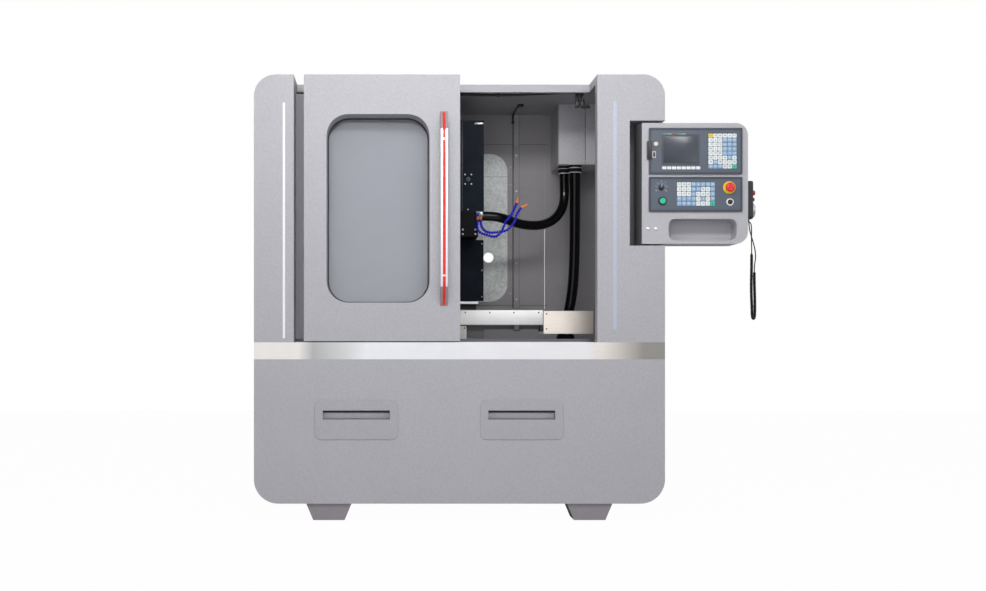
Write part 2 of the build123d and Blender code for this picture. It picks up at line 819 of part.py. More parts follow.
with BuildPart() as y_screw:
    with BuildSketch(facing(base_front_depth - motor_bore_depth)):
        with Locations((0, y_screw_z)):
            Circle(screw_radius)
    extrude(amount=-(y_bearing_depth + y_bearing_length - base_front_depth + motor_bore_depth))
y_screw.part.label = "y_screw"
export_step(y_screw.part, "parts/y_screw.step")

# Table: three T slots on top, the X dovetail below, with a channel for the X screw.
end_block = 16
channel_top = x_screw_z + screw_channel_half_width
with BuildPart() as table:
    block((-table_half_length, table_half_length), (table_front_depth, table_front_depth + table_width),
          (table_bottom, table_top))
    with BuildSketch(Plane.YZ.offset(-table_half_length)):
        dovetail(table_middle, table_bottom, tenon_bottom, table_tenon_neck, table_tenon_wide)
    extrude(amount=2 * table_half_length)
    block((-table_half_length + end_block, table_half_length - end_block),
          (table_depth_centre - screw_channel_half_width, table_depth_centre + screw_channel_half_width),
          (tenon_bottom - beyond, channel_top), mode=Mode.SUBTRACT)
    with BuildSketch(Plane.YZ.offset(-table_half_length)):
        with Locations((table_middle, x_screw_z)):
            Circle(bore)
        with Locations([(table_middle + row * table_slot_pitch, table_top) for row in (-1, 0, 1)]):
            Rectangle(table_slot_width, 2 * table_slot_depth)
        with Locations([(table_middle + row * table_slot_pitch,
                         table_top - table_slot_depth - table_slot_head_depth / 2) for row in (-1, 0, 1)]):
            Rectangle(table_slot_head_width, table_slot_head_depth)
    extrude(amount=2 * table_half_length, mode=Mode.SUBTRACT)
table.part.label = "table"
export_step(table.part, "parts/table.step")

with BuildPart() as x_motor_cover:
    block((table_half_length, x_cover_right), (table_front_depth, table_front_depth + table_width),
          (x_cover_bottom, x_cover_top))
    block((table_half_length, x_cover_right - x_cover_wall),
          (table_front_depth + x_cover_wall, table_front_depth + table_width - x_cover_wall),
          (x_cover_bottom - beyond, x_cover_top - x_cover_wall), mode=Mode.SUBTRACT)
x_motor_cover.part.label = "x_motor_cover"
export_step(x_motor_cover.part, "parts/x_motor_cover.step")

x_motor_length = 180
with BuildPart() as x_motor:
    block((table_half_length, table_half_length + x_motor_length),
          (table_depth_centre - x_motor_size / 2, table_depth_centre + x_motor_size / 2),
          (x_screw_z - x_motor_size / 2, x_screw_z + x_motor_size / 2))
    with BuildSketch(Plane.YZ.offset(table_half_length)):
        with Locations((table_middle, x_screw_z)):
            Circle(bore)
    extrude(amount=motor_bore_depth + 2, mode=Mode.SUBTRACT)
x_motor.part.label = "x_motor"
export_step(x_motor.part, "parts/x_motor.step")

x_screw_start = -table_half_length + 4
with BuildPart() as x_screw:
    with BuildSketch(Plane.YZ.offset(x_screw_start)):
        with Locations((table_middle, x_screw_z)):
            Circle(screw_radius)
    extrude(amount=table_half_length + motor_bore_depth - x_screw_start)
x_screw.part.label = "x_screw"
export_step(x_screw.part, "parts/x_screw.step")

# Z motor on top of the column, and the Z screw under it.
z_motor_bore_depth = 27
with BuildPart() as z_motor:
    block((-z_motor_size / 2, z_motor_size / 2),
          (z_screw_depth - z_motor_size / 2, z_screw_depth + z_motor_size / 2),
          (column_top, column_top + z_motor_height))
    with BuildSketch(Plane.XY.offset(column_top)):
        with Locations((0, front + z_screw_depth)):
            Circle(z_screw_radius + screw_fit)
    extrude(amount=z_motor_bore_depth, mode=Mode.SUBTRACT)
z_motor.part.label = "z_motor"
export_step(z_motor.part, "parts/z_motor.step")

z_screw_bottom = channel_bottom - z_bearing_length + 2
with BuildPart() as z_screw:
    with BuildSketch(Plane.XY.offset(z_screw_bottom)):
        with Locations((0, front + z_screw_depth)):
            Circle(z_screw_radius)
    extrude(amount=column_top + z_motor_bore_depth - 2 - z_screw_bottom)
z_screw.part.label = "z_screw"
export_step(z_screw.part, "parts/z_screw.step")

# Headstock: spindle housing, web, plate on the ways, nut of the Z screw, motor shelf and hose gland.
web_half_width = 60
motor_clearance = 4
web_front_depth = spindle_depth + spindle_motor_radius + motor_clearance
plate_front_depth = head_back_depth - 3
plate_back_depth = column_front_depth - way_thickness - slide_clearance
grip_inner_x = way_x + way_width / 2 + slide_clearance
z_nut_bottom = 1550
z_nut_top = 1620
shelf_half_width = head_cover_half_width - sheet
shelf_front_depth = head_cover_front_depth + sheet
shelf_hole_radius = 12
head_gland_depth = spindle_depth + 8
head_gland_z = head_top - 12
head_gland_length = 18
tube_gap = 0.3
upper_bore = upper_conduit_diameter / 2 + tube_gap
with BuildPart() as headstock:
    block((-head_half_width, head_half_width), (head_front_depth, head_back_depth), (head_bottom, head_top))
    block((-web_half_width, web_half_width), (web_front_depth, plate_front_depth),
          (head_top, saddle_plate_top))
    block((-saddle_plate_half_width, saddle_plate_half_width), (plate_front_depth, plate_back_depth),
          (saddle_plate_bottom, saddle_plate_top))
    for x_range in ((grip_inner_x, saddle_plate_half_width), (-saddle_plate_half_width, -grip_inner_x)):
        block(x_range, (plate_back_depth, column_front_depth - slide_clearance),
              (saddle_plate_bottom, saddle_plate_top))
    block((-channel_half_width + 3, channel_half_width - 3), (plate_back_depth, channel_back_depth - 3),
          (z_nut_bottom, z_nut_top))
    block((-shelf_half_width, shelf_half_width), (shelf_front_depth, plate_front_depth),
          (saddle_plate_bottom, saddle_plate_bottom + motor_shelf_thickness))
    with BuildSketch(Plane.YZ.offset(head_half_width)):
        with Locations((front + head_gland_depth, head_gland_z)):
            Circle(upper_conduit_diameter / 2 + gland_wall)
    extrude(amount=head_gland_length)
    with BuildSketch(Plane.YZ.offset(head_half_width + 2)):
        with Locations((front + head_gland_depth, head_gland_z)):
            Circle(upper_bore)
    extrude(amount=head_gland_length, mode=Mode.SUBTRACT)
    with BuildSketch(Plane.XY.offset(head_bottom)):
        with Locations((0, front + spindle_depth)):
            Circle(spindle_radius + screw_fit)
    extrude(amount=head_top - head_bottom, mode=Mode.SUBTRACT)
    with BuildSketch(Plane.XY.offset(saddle_plate_bottom)):
        with Locations((0, front + spindle_depth)):
            Circle(shelf_hole_radius)
    extrude(amount=motor_shelf_thickness, mode=Mode.SUBTRACT)
    with BuildSketch(Plane.XY.offset(z_nut_bottom)):
        with Locations((0, front + z_screw_depth)):
            Circle(z_screw_radius + screw_fit)
    extrude(amount=z_nut_top - z_nut_bottom, mode=Mode.SUBTRACT)
headstock.part.label = "headstock"
export_step(headstock.part, "parts/headstock.step")

# Head cover: a box open behind and below, with a notch for the hose gland.
with BuildPart() as head_cover:
    block((-head_cover_half_width, head_cover_half_width), (head_cover_front_depth, head_cover_back_depth),
          (head_top, head_cover_top))
    block((-shelf_half_width, shelf_half_width), (shelf_front_depth, head_cover_back_depth + beyond),
          (head_top - beyond, head_cover_top - sheet), mode=Mode.SUBTRACT)
    with BuildSketch(Plane.YZ.offset(head_half_width)):
        with Locations((front + head_gland_depth, head_gland_z)):
            Circle(upper_conduit_diameter / 2 + gland_wall + 3)
    extrude(amount=2 * head_cover_half_width, mode=Mode.SUBTRACT)
head_cover.part.label = "head_cover"
export_step(head_cover.part, "parts/head_cover.step")

# Spindle with its collet nose, shaft and coupling, and the spindle motor above it.
coupling_radius = 20
coupling_bottom = 1430
coupling_top = 1470
shaft_radius = 12
stub_radius = 9
motor_bottom = saddle_plate_bottom + motor_shelf_thickness
spindle_motor_bore = 22
with BuildPart() as spindle:
    with Locations((0, front + spindle_depth, head_bottom - nose_length)):
        Cylinder(nose_radius, nose_length, align=(Align.CENTER, Align.CENTER, Align.MIN))
    chamfer(spindle.edges().group_by(Axis.Z)[0], 3)
    with Locations((0, front + spindle_depth, head_bottom)):
        Cylinder(spindle_radius, head_top - head_bottom, align=(Align.CENTER, Align.CENTER, Align.MIN))
        Cylinder(shaft_radius, coupling_bottom - head_bottom, align=(Align.CENTER, Align.CENTER, Align.MIN))
    with Locations((0, front + spindle_depth, coupling_bottom)):
        Cylinder(coupling_radius, coupling_top - coupling_bottom, align=(Align.CENTER, Align.CENTER, Align.MIN))
        Cylinder(stub_radius, motor_bottom + spindle_motor_bore - 2 - coupling_bottom,
                 align=(Align.CENTER, Align.CENTER, Align.MIN))
    with Locations((0, front + spindle_depth, head_bottom - nose_length)):
        Cylinder(collet_bore_radius, collet_bore_length, align=(Align.CENTER, Align.CENTER, Align.MIN),
                 mode=Mode.SUBTRACT)
spindle.part.label = "spindle"
export_step(spindle.part, "parts/spindle.step")

with BuildPart() as spindle_motor:
    with BuildSketch(Plane.XY.offset(motor_bottom)):
        with Locations((0, front + spindle_depth)):
            Circle(spindle_motor_radius)
    extrude(amount=spindle_motor_height)
    with BuildSketch(Plane.XY.offset(motor_bottom)):
        with Locations((0, front + spindle_depth)):
            Circle(stub_radius + screw_fit)
    extrude(amount=spindle_motor_bore, mode=Mode.SUBTRACT)
spindle_motor.part.label = "spindle_motor"
export_step(spindle_motor.part, "parts/spindle_motor.step")

# Coolant valves on the head: a block with two bodies, a tap in front of each, and a beaded hose below.
valve_front_depth = head_front_depth - valve_block_depth
valve_depth = head_front_depth - valve_block_depth / 2
valve_body_bottom = valve_block_bottom - valve_body_height
tap_z = valve_block_bottom - valve_body_height / 2
tap_bore_depth = 6
tap_fit = 0.1
with BuildPart() as valve_block:
    block((valve_block_left, valve_block_right), (valve_front_depth, head_front_depth),
          (valve_block_bottom, head_top))
    with Locations((valve_a_x, front + valve_depth, valve_block_bottom),
                   (valve_b_x, front + valve_depth, valve_block_bottom)):
        Cylinder(valve_radius, valve_body_height, align=(Align.CENTER, Align.CENTER, Align.MAX))
    with BuildSketch(facing(valve_front_depth)):
        with Locations((valve_a_x, tap_z), (valve_b_x, tap_z)):
            Circle(valve_radius - 1)
    extrude(amount=-valve_block_depth / 2)
    with BuildSketch(facing(valve_front_depth)):
        with Locations((valve_a_x, tap_z), (valve_b_x, tap_z)):
            Circle(tap_radius + tap_fit)
    extrude(amount=-tap_bore_depth, mode=Mode.SUBTRACT)
valve_block.part.label = "valve_block"
export_step(valve_block.part, "parts/valve_block.step")

tap_stand = 1
tap_wing = (11, 4, 3)
with BuildPart() as valve_tap_a:
    with BuildSketch(facing(valve_front_depth - tap_stand - tap_wing[1])):
        with Locations((valve_a_x, tap_z)):
            Circle(tap_radius)
    extrude(amount=-(tap_stand + tap_wing[1] + tap_bore_depth - 1))
    with Locations((valve_a_x, front + valve_front_depth - tap_stand - tap_wing[1] / 2, tap_z)):
        Box(*tap_wing)
valve_tap_a.part.label = "valve_tap_a"
export_step(valve_tap_a.part, "parts/valve_tap_a.step")

with BuildPart() as valve_tap_b:
    with BuildSketch(facing(valve_front_depth - tap_stand - tap_wing[1])):
        with Locations((valve_b_x, tap_z)):
            Circle(tap_radius)
    extrude(amount=-(tap_stand + tap_wing[1] + tap_bore_depth - 1))
    with Locations((valve_b_x, front + valve_front_depth - tap_stand - tap_wing[1] / 2, tap_z)):
        Box(*tap_wing)
valve_tap_b.part.label = "valve_tap_b"
export_step(valve_tap_b.part, "parts/valve_tap_b.step")

# Routes of the hoses' beads as offsets in X, depth and Z from the valves' lower ends, and the tips
# of the nozzles.
hose_a_offsets = (
    (0, 0, 0), (0, 0, -12), (-3, -6, -33), (0, -10, -49), (17, -16, -62), (50, -24, -72),
    (74.5, -30, -80), (91, -34, -74), (105.5, -37, -59), (116, -40, -39), (124, -42, -14),
    (140.5, -44, 7), (157, -46, 28), (167.5, -47, 53), (178, -48, 76),
)
hose_a_tip = (185, -49, 103)
hose_b_offsets = (
    (0, 0, 0), (0, 0, -12), (3, -8, -31), (19, -18, -52), (40, -36, -61), (73, -47, -59),
    (100.5, -56, -57), (120, -66, -49), (140, -74, -29), (153, -80, -8.5), (158, -84, 16),
    (169, -88, 36), (181, -91, 51),
)
hose_b_tip = (210.5, -94, 66)
nozzle_tip_radius = 3.2


def bead_chain(valve_x, offsets, tip_offset):
    """Beads and necks below a valve in the current part, ending in a tapered nozzle."""
    valve_end = Vector(valve_x, front + valve_depth, valve_body_bottom)
    with BuildLine(mode=Mode.PRIVATE) as path:
        line = Polyline(*[valve_end + Vector(*offset) for offset in offsets])
    count = round(line.length / bead_pitch)
    places = [line.position_at(step / count) for step in range(count + 1)]
    spans = list(zip(places, places[1:]))
    with BuildSketch(*[Plane(origin=here, z_dir=there - here) for here, there in spans]) as necks:
        RegularPolygon(bead_neck_radius, 8)
    extrude(necks.sketch, amount=line.length / count)
    with BuildSketch(*[Plane(origin=here + (there - here) * 0.15, z_dir=there - here)
                       for here, there in spans]) as beads:
        RegularPolygon(bead_radius, 8)
    extrude(beads.sketch, amount=bead_length)
    start, tip = valve_end + Vector(*offsets[-1]), valve_end + Vector(*tip_offset)
    with BuildSketch(Plane(origin=start, z_dir=tip - start)) as base:
        RegularPolygon(bead_radius, 8)
    with BuildSketch(Plane(origin=tip, z_dir=tip - start)) as end:
        RegularPolygon(nozzle_tip_radius, 8)
    loft([base.sketch, end.sketch])


with BuildPart() as coolant_hose_a:
    bead_chain(valve_a_x, hose_a_offsets, hose_a_tip)
coolant_hose_a.part.label = "coolant_hose_a"
export_step(coolant_hose_a.part, "parts/coolant_hose_a.step")

with BuildPart() as coolant_hose_b:
    bead_chain(valve_b_x, hose_b_offsets, hose_b_tip)
coolant_hose_b.part.label = "coolant_hose_b"
export_step(coolant_hose_b.part, "parts/coolant_hose_b.step")

# Junction box in the top right corner, with two glands under it.
box_back_depth = cabinet_depth - sheet
lower_bore = lower_conduit_diameter / 2 + tube_gap
with BuildPart() as junction_box:
    block((box_left, box_right), (box_front_depth, box_back_depth), (box_bottom, roof_under))
    block((box_left + sheet, box_right - sheet), (box_front_depth + sheet, box_back_depth - sheet),
          (box_bottom + sheet, roof_under - sheet), mode=Mode.SUBTRACT)
    with Locations((upper_conduit_x, front + upper_conduit_depth, box_bottom + sheet)):
        Cylinder(upper_conduit_diameter / 2 + gland_wall, gland_length + sheet,
                 align=(Align.CENTER, Align.CENTER, Align.MAX))
    with Locations((lower_conduit_x, front + lower_conduit_depth, box_bottom + sheet)):
        Cylinder(lower_conduit_diameter / 2 + gland_wall, gland_length + sheet,
                 align=(Align.CENTER, Align.CENTER, Align.MAX))
    with Locations((upper_conduit_x, front + upper_conduit_depth, box_bottom + sheet)):
        Cylinder(upper_bore, gland_length + sheet, align=(Align.CENTER, Align.CENTER, Align.MAX),
                 mode=Mode.SUBTRACT)
    with Locations((lower_conduit_x, front + lower_conduit_depth, box_bottom + sheet)):
        Cylinder(lower_bore, gland_length + sheet, align=(Align.CENTER, Align.CENTER, Align.MAX),
                 mode=Mode.SUBTRACT)
junction_box.part.label = "junction_box"
export_step(junction_box.part, "parts/junction_box.step")

# Conduits: fat black hoses from the junction box, one to the head and one to the floor.
conduit_top = box_bottom - gland_length / 2
upper_conduit_route = (
    (upper_conduit_x, upper_conduit_depth, conduit_top), (upper_conduit_x, upper_conduit_depth, 1540),
    (554, 813, 1480), (547, 802, 1432), (525, 783, 1388), (488, 759, 1352), (442, 733, 1332),
    (392, 708, 1325), (340, 672, 1327), (293, 640, 1336), (243, 613, 1351),
    (188, head_gland_depth, head_gland_z),
    (head_half_width + 3, head_gland_depth, head_gland_z),
)
with BuildPart() as conduit_upper:
    with BuildLine() as upper_line:
        curve, upper_radii = tube_path([(x, front + depth, z) for x, depth, z in upper_conduit_route])
    with BuildSketch(Plane(origin=curve @ 0, z_dir=curve % 0)):
        Circle(upper_conduit_diameter / 2)
    sweep(path=curve)
conduit_upper.part.label = "conduit_upper"
export_step(conduit_upper.part, "parts/conduit_upper.step")
report_cord("conduit_upper", curve, upper_radii, upper_conduit_diameter, conduit_upper.part)

lower_conduit_route = (
    (lower_conduit_x, lower_conduit_depth, conduit_top), (lower_conduit_x, lower_conduit_depth, 1450),
    (599, 775, 1300), (597, 776, 1150), (590, 780, 1020), (572, 792, 910), (boot_x, boot_depth, 842),
    (boot_x, boot_depth, 776),
)
with BuildPart() as conduit_lower:
    with BuildLine() as lower_line:
        curve, lower_radii = tube_path([(x, front + depth, z) for x, depth, z in lower_conduit_route])
    with BuildSketch(Plane(origin=curve @ 0, z_dir=curve % 0)):
        Circle(lower_conduit_diameter / 2)
    sweep(path=curve)
conduit_lower.part.label = "conduit_lower"
export_step(conduit_lower.part, "parts/conduit_lower.step")
report_cord("conduit_lower", curve, lower_radii, lower_conduit_diameter, conduit_lower.part)

# Rubber boot round the lower conduit where it goes through the floor.
boot_flange = 5
boot_neck_radius = 34
boot_spigot_depth = 22
with BuildPart() as floor_boot:
    with BuildSketch(Plane((boot_x, front + boot_depth, sill_top), x_dir=(1, 0, 0), z_dir=(0, -1, 0))):
        with BuildLine():
            Polyline((0, -boot_spigot_depth), (spigot_radius - 0.5, -boot_spigot_depth),
                     (spigot_radius - 0.5, 0), (boot_radius, 0), (boot_radius, boot_flange))
            ThreePointArc((boot_radius, boot_flange), (boot_radius - 6, boot_height * 0.65),
                          (boot_neck_radius, boot_height))
            Polyline((boot_neck_radius, boot_height), (0, boot_height), (0, -boot_spigot_depth))
        make_face()
    revolve(axis=Axis((boot_x, front + boot_depth, sill_top), (0, 0, 1)))
    with Locations((boot_x, front + boot_depth, sill_top + boot_height)):
        Hole(lower_bore, depth=boot_height + boot_spigot_depth)
floor_boot.part.label = "floor_boot"
export_step(floor_boot.part, "parts/floor_boot.step")

# Cable clipped under the roof, just behind its front edge.
cable_depth = 300
clip_width = 14
header_cable_route = (
    (-648, 1893), (-560, 1890), (-430, 1885), (-300, 1886), (-180, 1890), (-60, 1889), (60, 1883),
    (190, 1881), (310, 1884), (420, 1889), (505, 1893), (540, 1893),
)
connector_left = 538
connector_width = 38
connector_bottom = 1838
connector_height = 34
with BuildPart() as header_cable:
    with BuildLine() as header_line:
        curve, header_radii = tube_path([(x, front + cable_depth, z) for x, z in header_cable_route])
    with BuildSketch(Plane(origin=curve @ 0, z_dir=curve % 0)):
        Circle(cable_diameter / 2)
    sweep(path=curve)
    report_cord("header_cable", curve, header_radii, cable_diameter, header_cable.part)
    for x, z in (header_cable_route[1], header_cable_route[4]):
        block((x - clip_width / 2, x + clip_width / 2), (cable_depth - 8, cable_depth + 8), (z - 1, roof_under))
    block((connector_left, connector_left + connector_width), (cable_depth - 3, cable_depth + 3),
          (connector_bottom, roof_under))
    block((connector_left, connector_left + connector_width), (cable_depth - 14, cable_depth + 14),
          (connector_bottom, connector_bottom + connector_height))
header_cable.part.label = "header_cable"
export_step(header_cable.part, "parts/header_cable.step")

# Coolant tank on the base frame, behind the left plate, with its pump.
tank_wall = 3
with BuildPart() as coolant_tank:
    block((tank_left, tank_right), (tank_front_depth, tank_back_depth), (tank_bottom, tank_top))
    block((tank_left + tank_wall, tank_right - tank_wall),
          (tank_front_depth + tank_wall, tank_back_depth - tank_wall),
          (tank_bottom + tank_wall, tank_top + beyond), mode=Mode.SUBTRACT)
    with Locations((tank_left + 90, front + (tank_front_depth + tank_back_depth) / 2, tank_bottom + tank_wall)):
        Cylinder(42, tank_top - tank_bottom + 130, align=(Align.CENTER, Align.CENTER, Align.MIN))
coolant_tank.part.label = "coolant_tank"
export_step(coolant_tank.part, "parts/coolant_tank.step")

# Control pod: a sheet box on two pivots, with a bulged left side and a hand pocket.
unit_body_inset = 8
cutout = unit_body_inset - 1
pivot_boss_radius = 20
pivot_boss_height = pivot_pin_length + 2
dome_radius = 7.5
lead_depth = 50
lead_z = 1293
lead_bore = pendant_cord_diameter / 2 + 0.3


def pod_outline(inset):
    """Front outline of the pod with its two rounded right corners, in the current sketch."""
    left, right = pod_left, pod_right - inset
    low, high = pod_bottom + inset, pod_top - inset
    radius = pod_corner_radius - inset
    with BuildLine() as outline:
        Polyline((left, high), (left, low), (right - radius, low))
        RadiusArc((right - radius, low), (right, low + radius), -radius)
        Line((right, low + radius), (right, high - radius))
        RadiusArc((right, high - radius), (right - radius, high), -radius)
        Line((right - radius, high), (left, high))
    make_face(outline.edges())


def pod_cheek(inset):
    """Plan of the pod's bulged left side, in the current sketch."""
    with BuildLine() as outline:
        ThreePointArc((pod_left, pod_front + inset), (pod_left - pod_side_bulge + inset, pivot_y),
                      (pod_left, pod_back - inset))
        Line((pod_left, pod_back - inset), (pod_left, pod_front + inset))
    make_face(outline.edges())


pod_depth_behind_front = -pod_proud
with BuildPart() as pod_shell:
    with BuildSketch(facing(pod_depth_behind_front)):
        pod_outline(0)
    extrude(amount=-pod_depth)
    with BuildSketch(Plane.XY.offset(pod_bottom)):
        pod_cheek(0)
    extrude(amount=pod_top - pod_bottom)
    with BuildSketch(facing(pod_depth_behind_front + pod_wall)):
        pod_outline(pod_wall)
    extrude(amount=-(pod_depth - 2 * pod_wall), mode=Mode.SUBTRACT)
    with BuildSketch(Plane.XY.offset(pod_bottom + pod_wall)):
        pod_cheek(pod_wall)
    extrude(amount=pod_top - pod_bottom - 2 * pod_wall, mode=Mode.SUBTRACT)
    with BuildSketch(facing(pod_depth_behind_front)):
        panel((unit_left + cutout, unit_right - cutout), (display_bottom + cutout, display_top - cutout))
        panel((unit_left + cutout, unit_right - cutout), (operator_bottom + cutout, operator_top - cutout))
    extrude(amount=-pod_wall, mode=Mode.SUBTRACT)
    with BuildSketch(facing(pod_depth_behind_front)):
        panel(grown((pocket_left, pocket_right), pod_wall), grown((pocket_bottom, pocket_top), pod_wall),
              pocket_radius + pod_wall)
    extrude(amount=-(pocket_depth + pod_wall))
    with BuildSketch(facing(pod_depth_behind_front)):
        panel((pocket_left, pocket_right), (pocket_bottom, pocket_top), pocket_radius)
    extrude(amount=-pocket_depth, mode=Mode.SUBTRACT)
    for z, end in ((pod_bottom, Align.MIN), (pod_top, Align.MAX)):
        with Locations((pivot_x, pivot_y, z)):
            Cylinder(pivot_boss_radius, pivot_boss_height, align=(Align.CENTER, Align.CENTER, end))
            Cylinder(pivot_pin_radius + pivot_fit, pivot_boss_height,
                     align=(Align.CENTER, Align.CENTER, end), mode=Mode.SUBTRACT)
    with BuildSketch(facing(pod_depth_behind_front)):
        with Locations((809, 1253.5), (843, 1253.5)):
            Circle(dome_radius)
    extrude(amount=3)
    with BuildSketch(Plane.YZ.offset(pod_right - pod_wall)):
        with Locations((front + lead_depth, lead_z)):
            Circle(lead_bore)
    extrude(amount=pod_wall, mode=Mode.SUBTRACT)
pod_shell.part.label = "pod_shell"
export_step(pod_shell.part, "parts/pod_shell.step")


def unit_box(low, high):
    """Bezel, recess and rear body of a unit let into the pod, in the current part."""
    depth = pod_depth_behind_front - unit_proud
    with BuildSketch(facing(depth)) as bezel:
        panel((unit_left, unit_right), (low, high), 4)
    extrude(bezel.sketch, amount=-unit_proud)
    with BuildSketch(facing(depth)) as recess:
        panel((unit_left + unit_border, unit_right - unit_border), (low + unit_border, high - unit_border), 2)
    extrude(recess.sketch, amount=-unit_recess, mode=Mode.SUBTRACT)
    block((unit_left + unit_body_inset, unit_right - unit_body_inset),
          (pod_depth_behind_front, pod_depth_behind_front + unit_back_depth),
          (low + unit_body_inset, high - unit_body_inset))


def keys(x_range, z_range, columns, rows, gap, lift, base):
    """Raised key pads in rows and columns, standing on a panel at a given depth."""
    pitch_x = (x_range[1] - x_range[0] + gap) / columns
    pitch_z = (z_range[1] - z_range[0] + gap) / rows
    with BuildSketch(facing(base - lift)) as pads:
        with Locations(((x_range[0] + x_range[1]) / 2, (z_range[0] + z_range[1]) / 2)):
            with GridLocations(pitch_x, pitch_z, columns, rows):
                Rectangle(pitch_x - gap, pitch_z - gap)
    extrude(pads.sketch, amount=-lift)


panel_depth = pod_depth_behind_front - unit_proud + unit_recess
mdi_depth = panel_depth + 1.5
with BuildPart() as display_unit:
    unit_box(display_bottom, display_top)
    with BuildSketch(facing(panel_depth)):
        panel((871, 1026), (1533, 1653), 2)
        panel((1064, 1192), (1508, 1665), 3)
    extrude(amount=-1.5, mode=Mode.SUBTRACT)
    keys((1068, 1188), (1512, 1661), 6, 8, 2.4, key_height, mdi_depth)
    keys((869, 1032), (1508, 1520), 8, 1, 3, key_height, panel_depth)
    keys((873, 970), (1656, 1662), 5, 1, 0.8, 0.6, panel_depth)
    block((unit_left - 8, 823), (panel_depth - 8, panel_depth + 4), (1551, 1629))
    with BuildSketch(facing(panel_depth - 5)):
        with Locations((842, 1617)):
            Circle(8)
        panel((826, 841), (1557, 1585), 1.5)
    extrude(amount=-5)
display_unit.part.label = "display_unit"
export_step(display_unit.part, "parts/display_unit.step")

# Places of the controls on the operator unit, as (X, Z).
override_place = (865, 1431)
start_place = (870, 1372.5)
estop_place = (1157, 1430)
key_place = (1160, 1368)
knob_stem = 4
knob_stem_depth = 20
start_stem = 6
start_radius = 13
start_travel = 3
estop_stem = 10
estop_travel = 5
stem_fit = 0.1
press_fit_gap = 0.3
with BuildPart() as operator_unit:
    unit_box(operator_bottom, operator_top)
    keys((933, 1094), (1352, 1452), 8, 5, 2.6, key_height, panel_depth)
    with BuildSketch(facing(panel_depth - 3)):
        with Locations(estop_place):
            Circle(25)
        with Locations(key_place):
            Circle(15.5)
    extrude(amount=-3)
    with BuildSketch(facing(panel_depth - 7)):
        with Locations(start_place):
            Circle(start_radius + 3)
            Circle(start_radius + 0.5, mode=Mode.SUBTRACT)
    extrude(amount=-7)
    with BuildSketch(facing(panel_depth - 3)):
        with Locations(estop_place):
            Circle(estop_stem + press_fit_gap)
        with Locations(start_place):
            Circle(start_stem + press_fit_gap)
        with Locations(override_place, key_place):
            Circle(knob_stem + stem_fit)
    extrude(amount=-(knob_stem_depth + estop_travel + 6), mode=Mode.SUBTRACT)
operator_unit.part.label = "operator_unit"
export_step(operator_unit.part, "parts/operator_unit.step")


def round_bar(place, radius, start_depth, end_depth):
    """Round stretch of the current part along the pod's depth, about a place on its face."""
    with BuildSketch(facing(start_depth)) as section:
        with Locations(place):
            Circle(radius)
    extrude(section.sketch, amount=-(end_depth - start_depth))


with BuildPart() as override_knob:
    round_bar(override_place, 13, panel_depth - 14, panel_depth - 0.5)
    round_bar(override_place, knob_stem, panel_depth - 1, panel_depth + knob_stem_depth)
    with BuildSketch(facing(panel_depth - 15)):
        with Locations((override_place[0], override_place[1] + 6)):
            Rectangle(2.5, 12)
    extrude(amount=-3)
override_knob.part.label = "override_knob"
export_step(override_knob.part, "parts/override_knob.step")

with BuildPart() as start_button:
    round_bar(start_place, start_radius, panel_depth - start_travel - 7, panel_depth - start_travel - 1)
    round_bar(start_place, start_stem, panel_depth - start_travel - 2, panel_depth + knob_stem_depth)
start_button.part.label = "start_button"
export_step(start_button.part, "parts/start_button.step")

with BuildPart() as estop_button:
    round_bar(estop_place, 20, panel_depth - 27, panel_depth - 14)
    fillet(estop_button.edges().group_by(Axis.Y)[0], 5)
    round_bar(estop_place, estop_stem, panel_depth - 15, panel_depth + knob_stem_depth)
estop_button.part.label = "estop_button"
export_step(estop_button.part, "parts/estop_button.step")

with BuildPart() as key_switch:
    round_bar(key_place, 10, panel_depth - 9, panel_depth - 3.5)
    round_bar(key_place, knob_stem, panel_depth - 4, panel_depth + knob_stem_depth)
    with BuildSketch(facing(panel_depth - 16)):
        with Locations(key_place):
            SlotOverall(19, 6, rotation=50)
    extrude(amount=-8)
key_switch.part.label = "key_switch"
export_step(key_switch.part, "parts/key_switch.step")

# Hand pendant on the pod's right side: its controls face away from the pod.
pendant_middle = front + pendant_front_depth + pendant_width / 2
pendant_face = pod_right + pendant_thickness
pendant_wheel_z = 1339
pendant_knob_z = 1387
pendant_estop_z = 1416
cord_exit_x = 1262
cord_exit_y = front + 70
with BuildPart() as pendant_body:
    with BuildSketch(Plane.YZ.offset(pod_right)):
        with Locations((pendant_middle, (pendant_bottom + pendant_top) / 2)):
            RectangleRounded(pendant_width, pendant_top - pendant_bottom, pendant_radius)
    extrude(amount=pendant_thickness)
    fillet(pendant_body.faces().sort_by(Axis.X)[-1].edges(), 3)
    with BuildSketch(Plane.YZ.offset(pendant_face - 16)):
        with Locations((pendant_middle, pendant_wheel_z), (pendant_middle, pendant_knob_z),
                       (pendant_middle, pendant_estop_z)):
            Circle(4 + stem_fit)
    extrude(amount=16, mode=Mode.SUBTRACT)
    with Locations((cord_exit_x, cord_exit_y, pendant_bottom)):
        Cylinder(lead_bore, 8, align=(Align.CENTER, Align.CENTER, Align.MIN), mode=Mode.SUBTRACT)
pendant_body.part.label = "pendant_body"
export_step(pendant_body.part, "parts/pendant_body.step")


def side_bar(z, radius, start, length):
    """Round stretch of the current part along X, standing out from the pendant's face."""
    with BuildSketch(Plane.YZ.offset(pendant_face + start)) as section:
        with Locations((pendant_middle, z)):
            Circle(radius)
    extrude(section.sketch, amount=length)


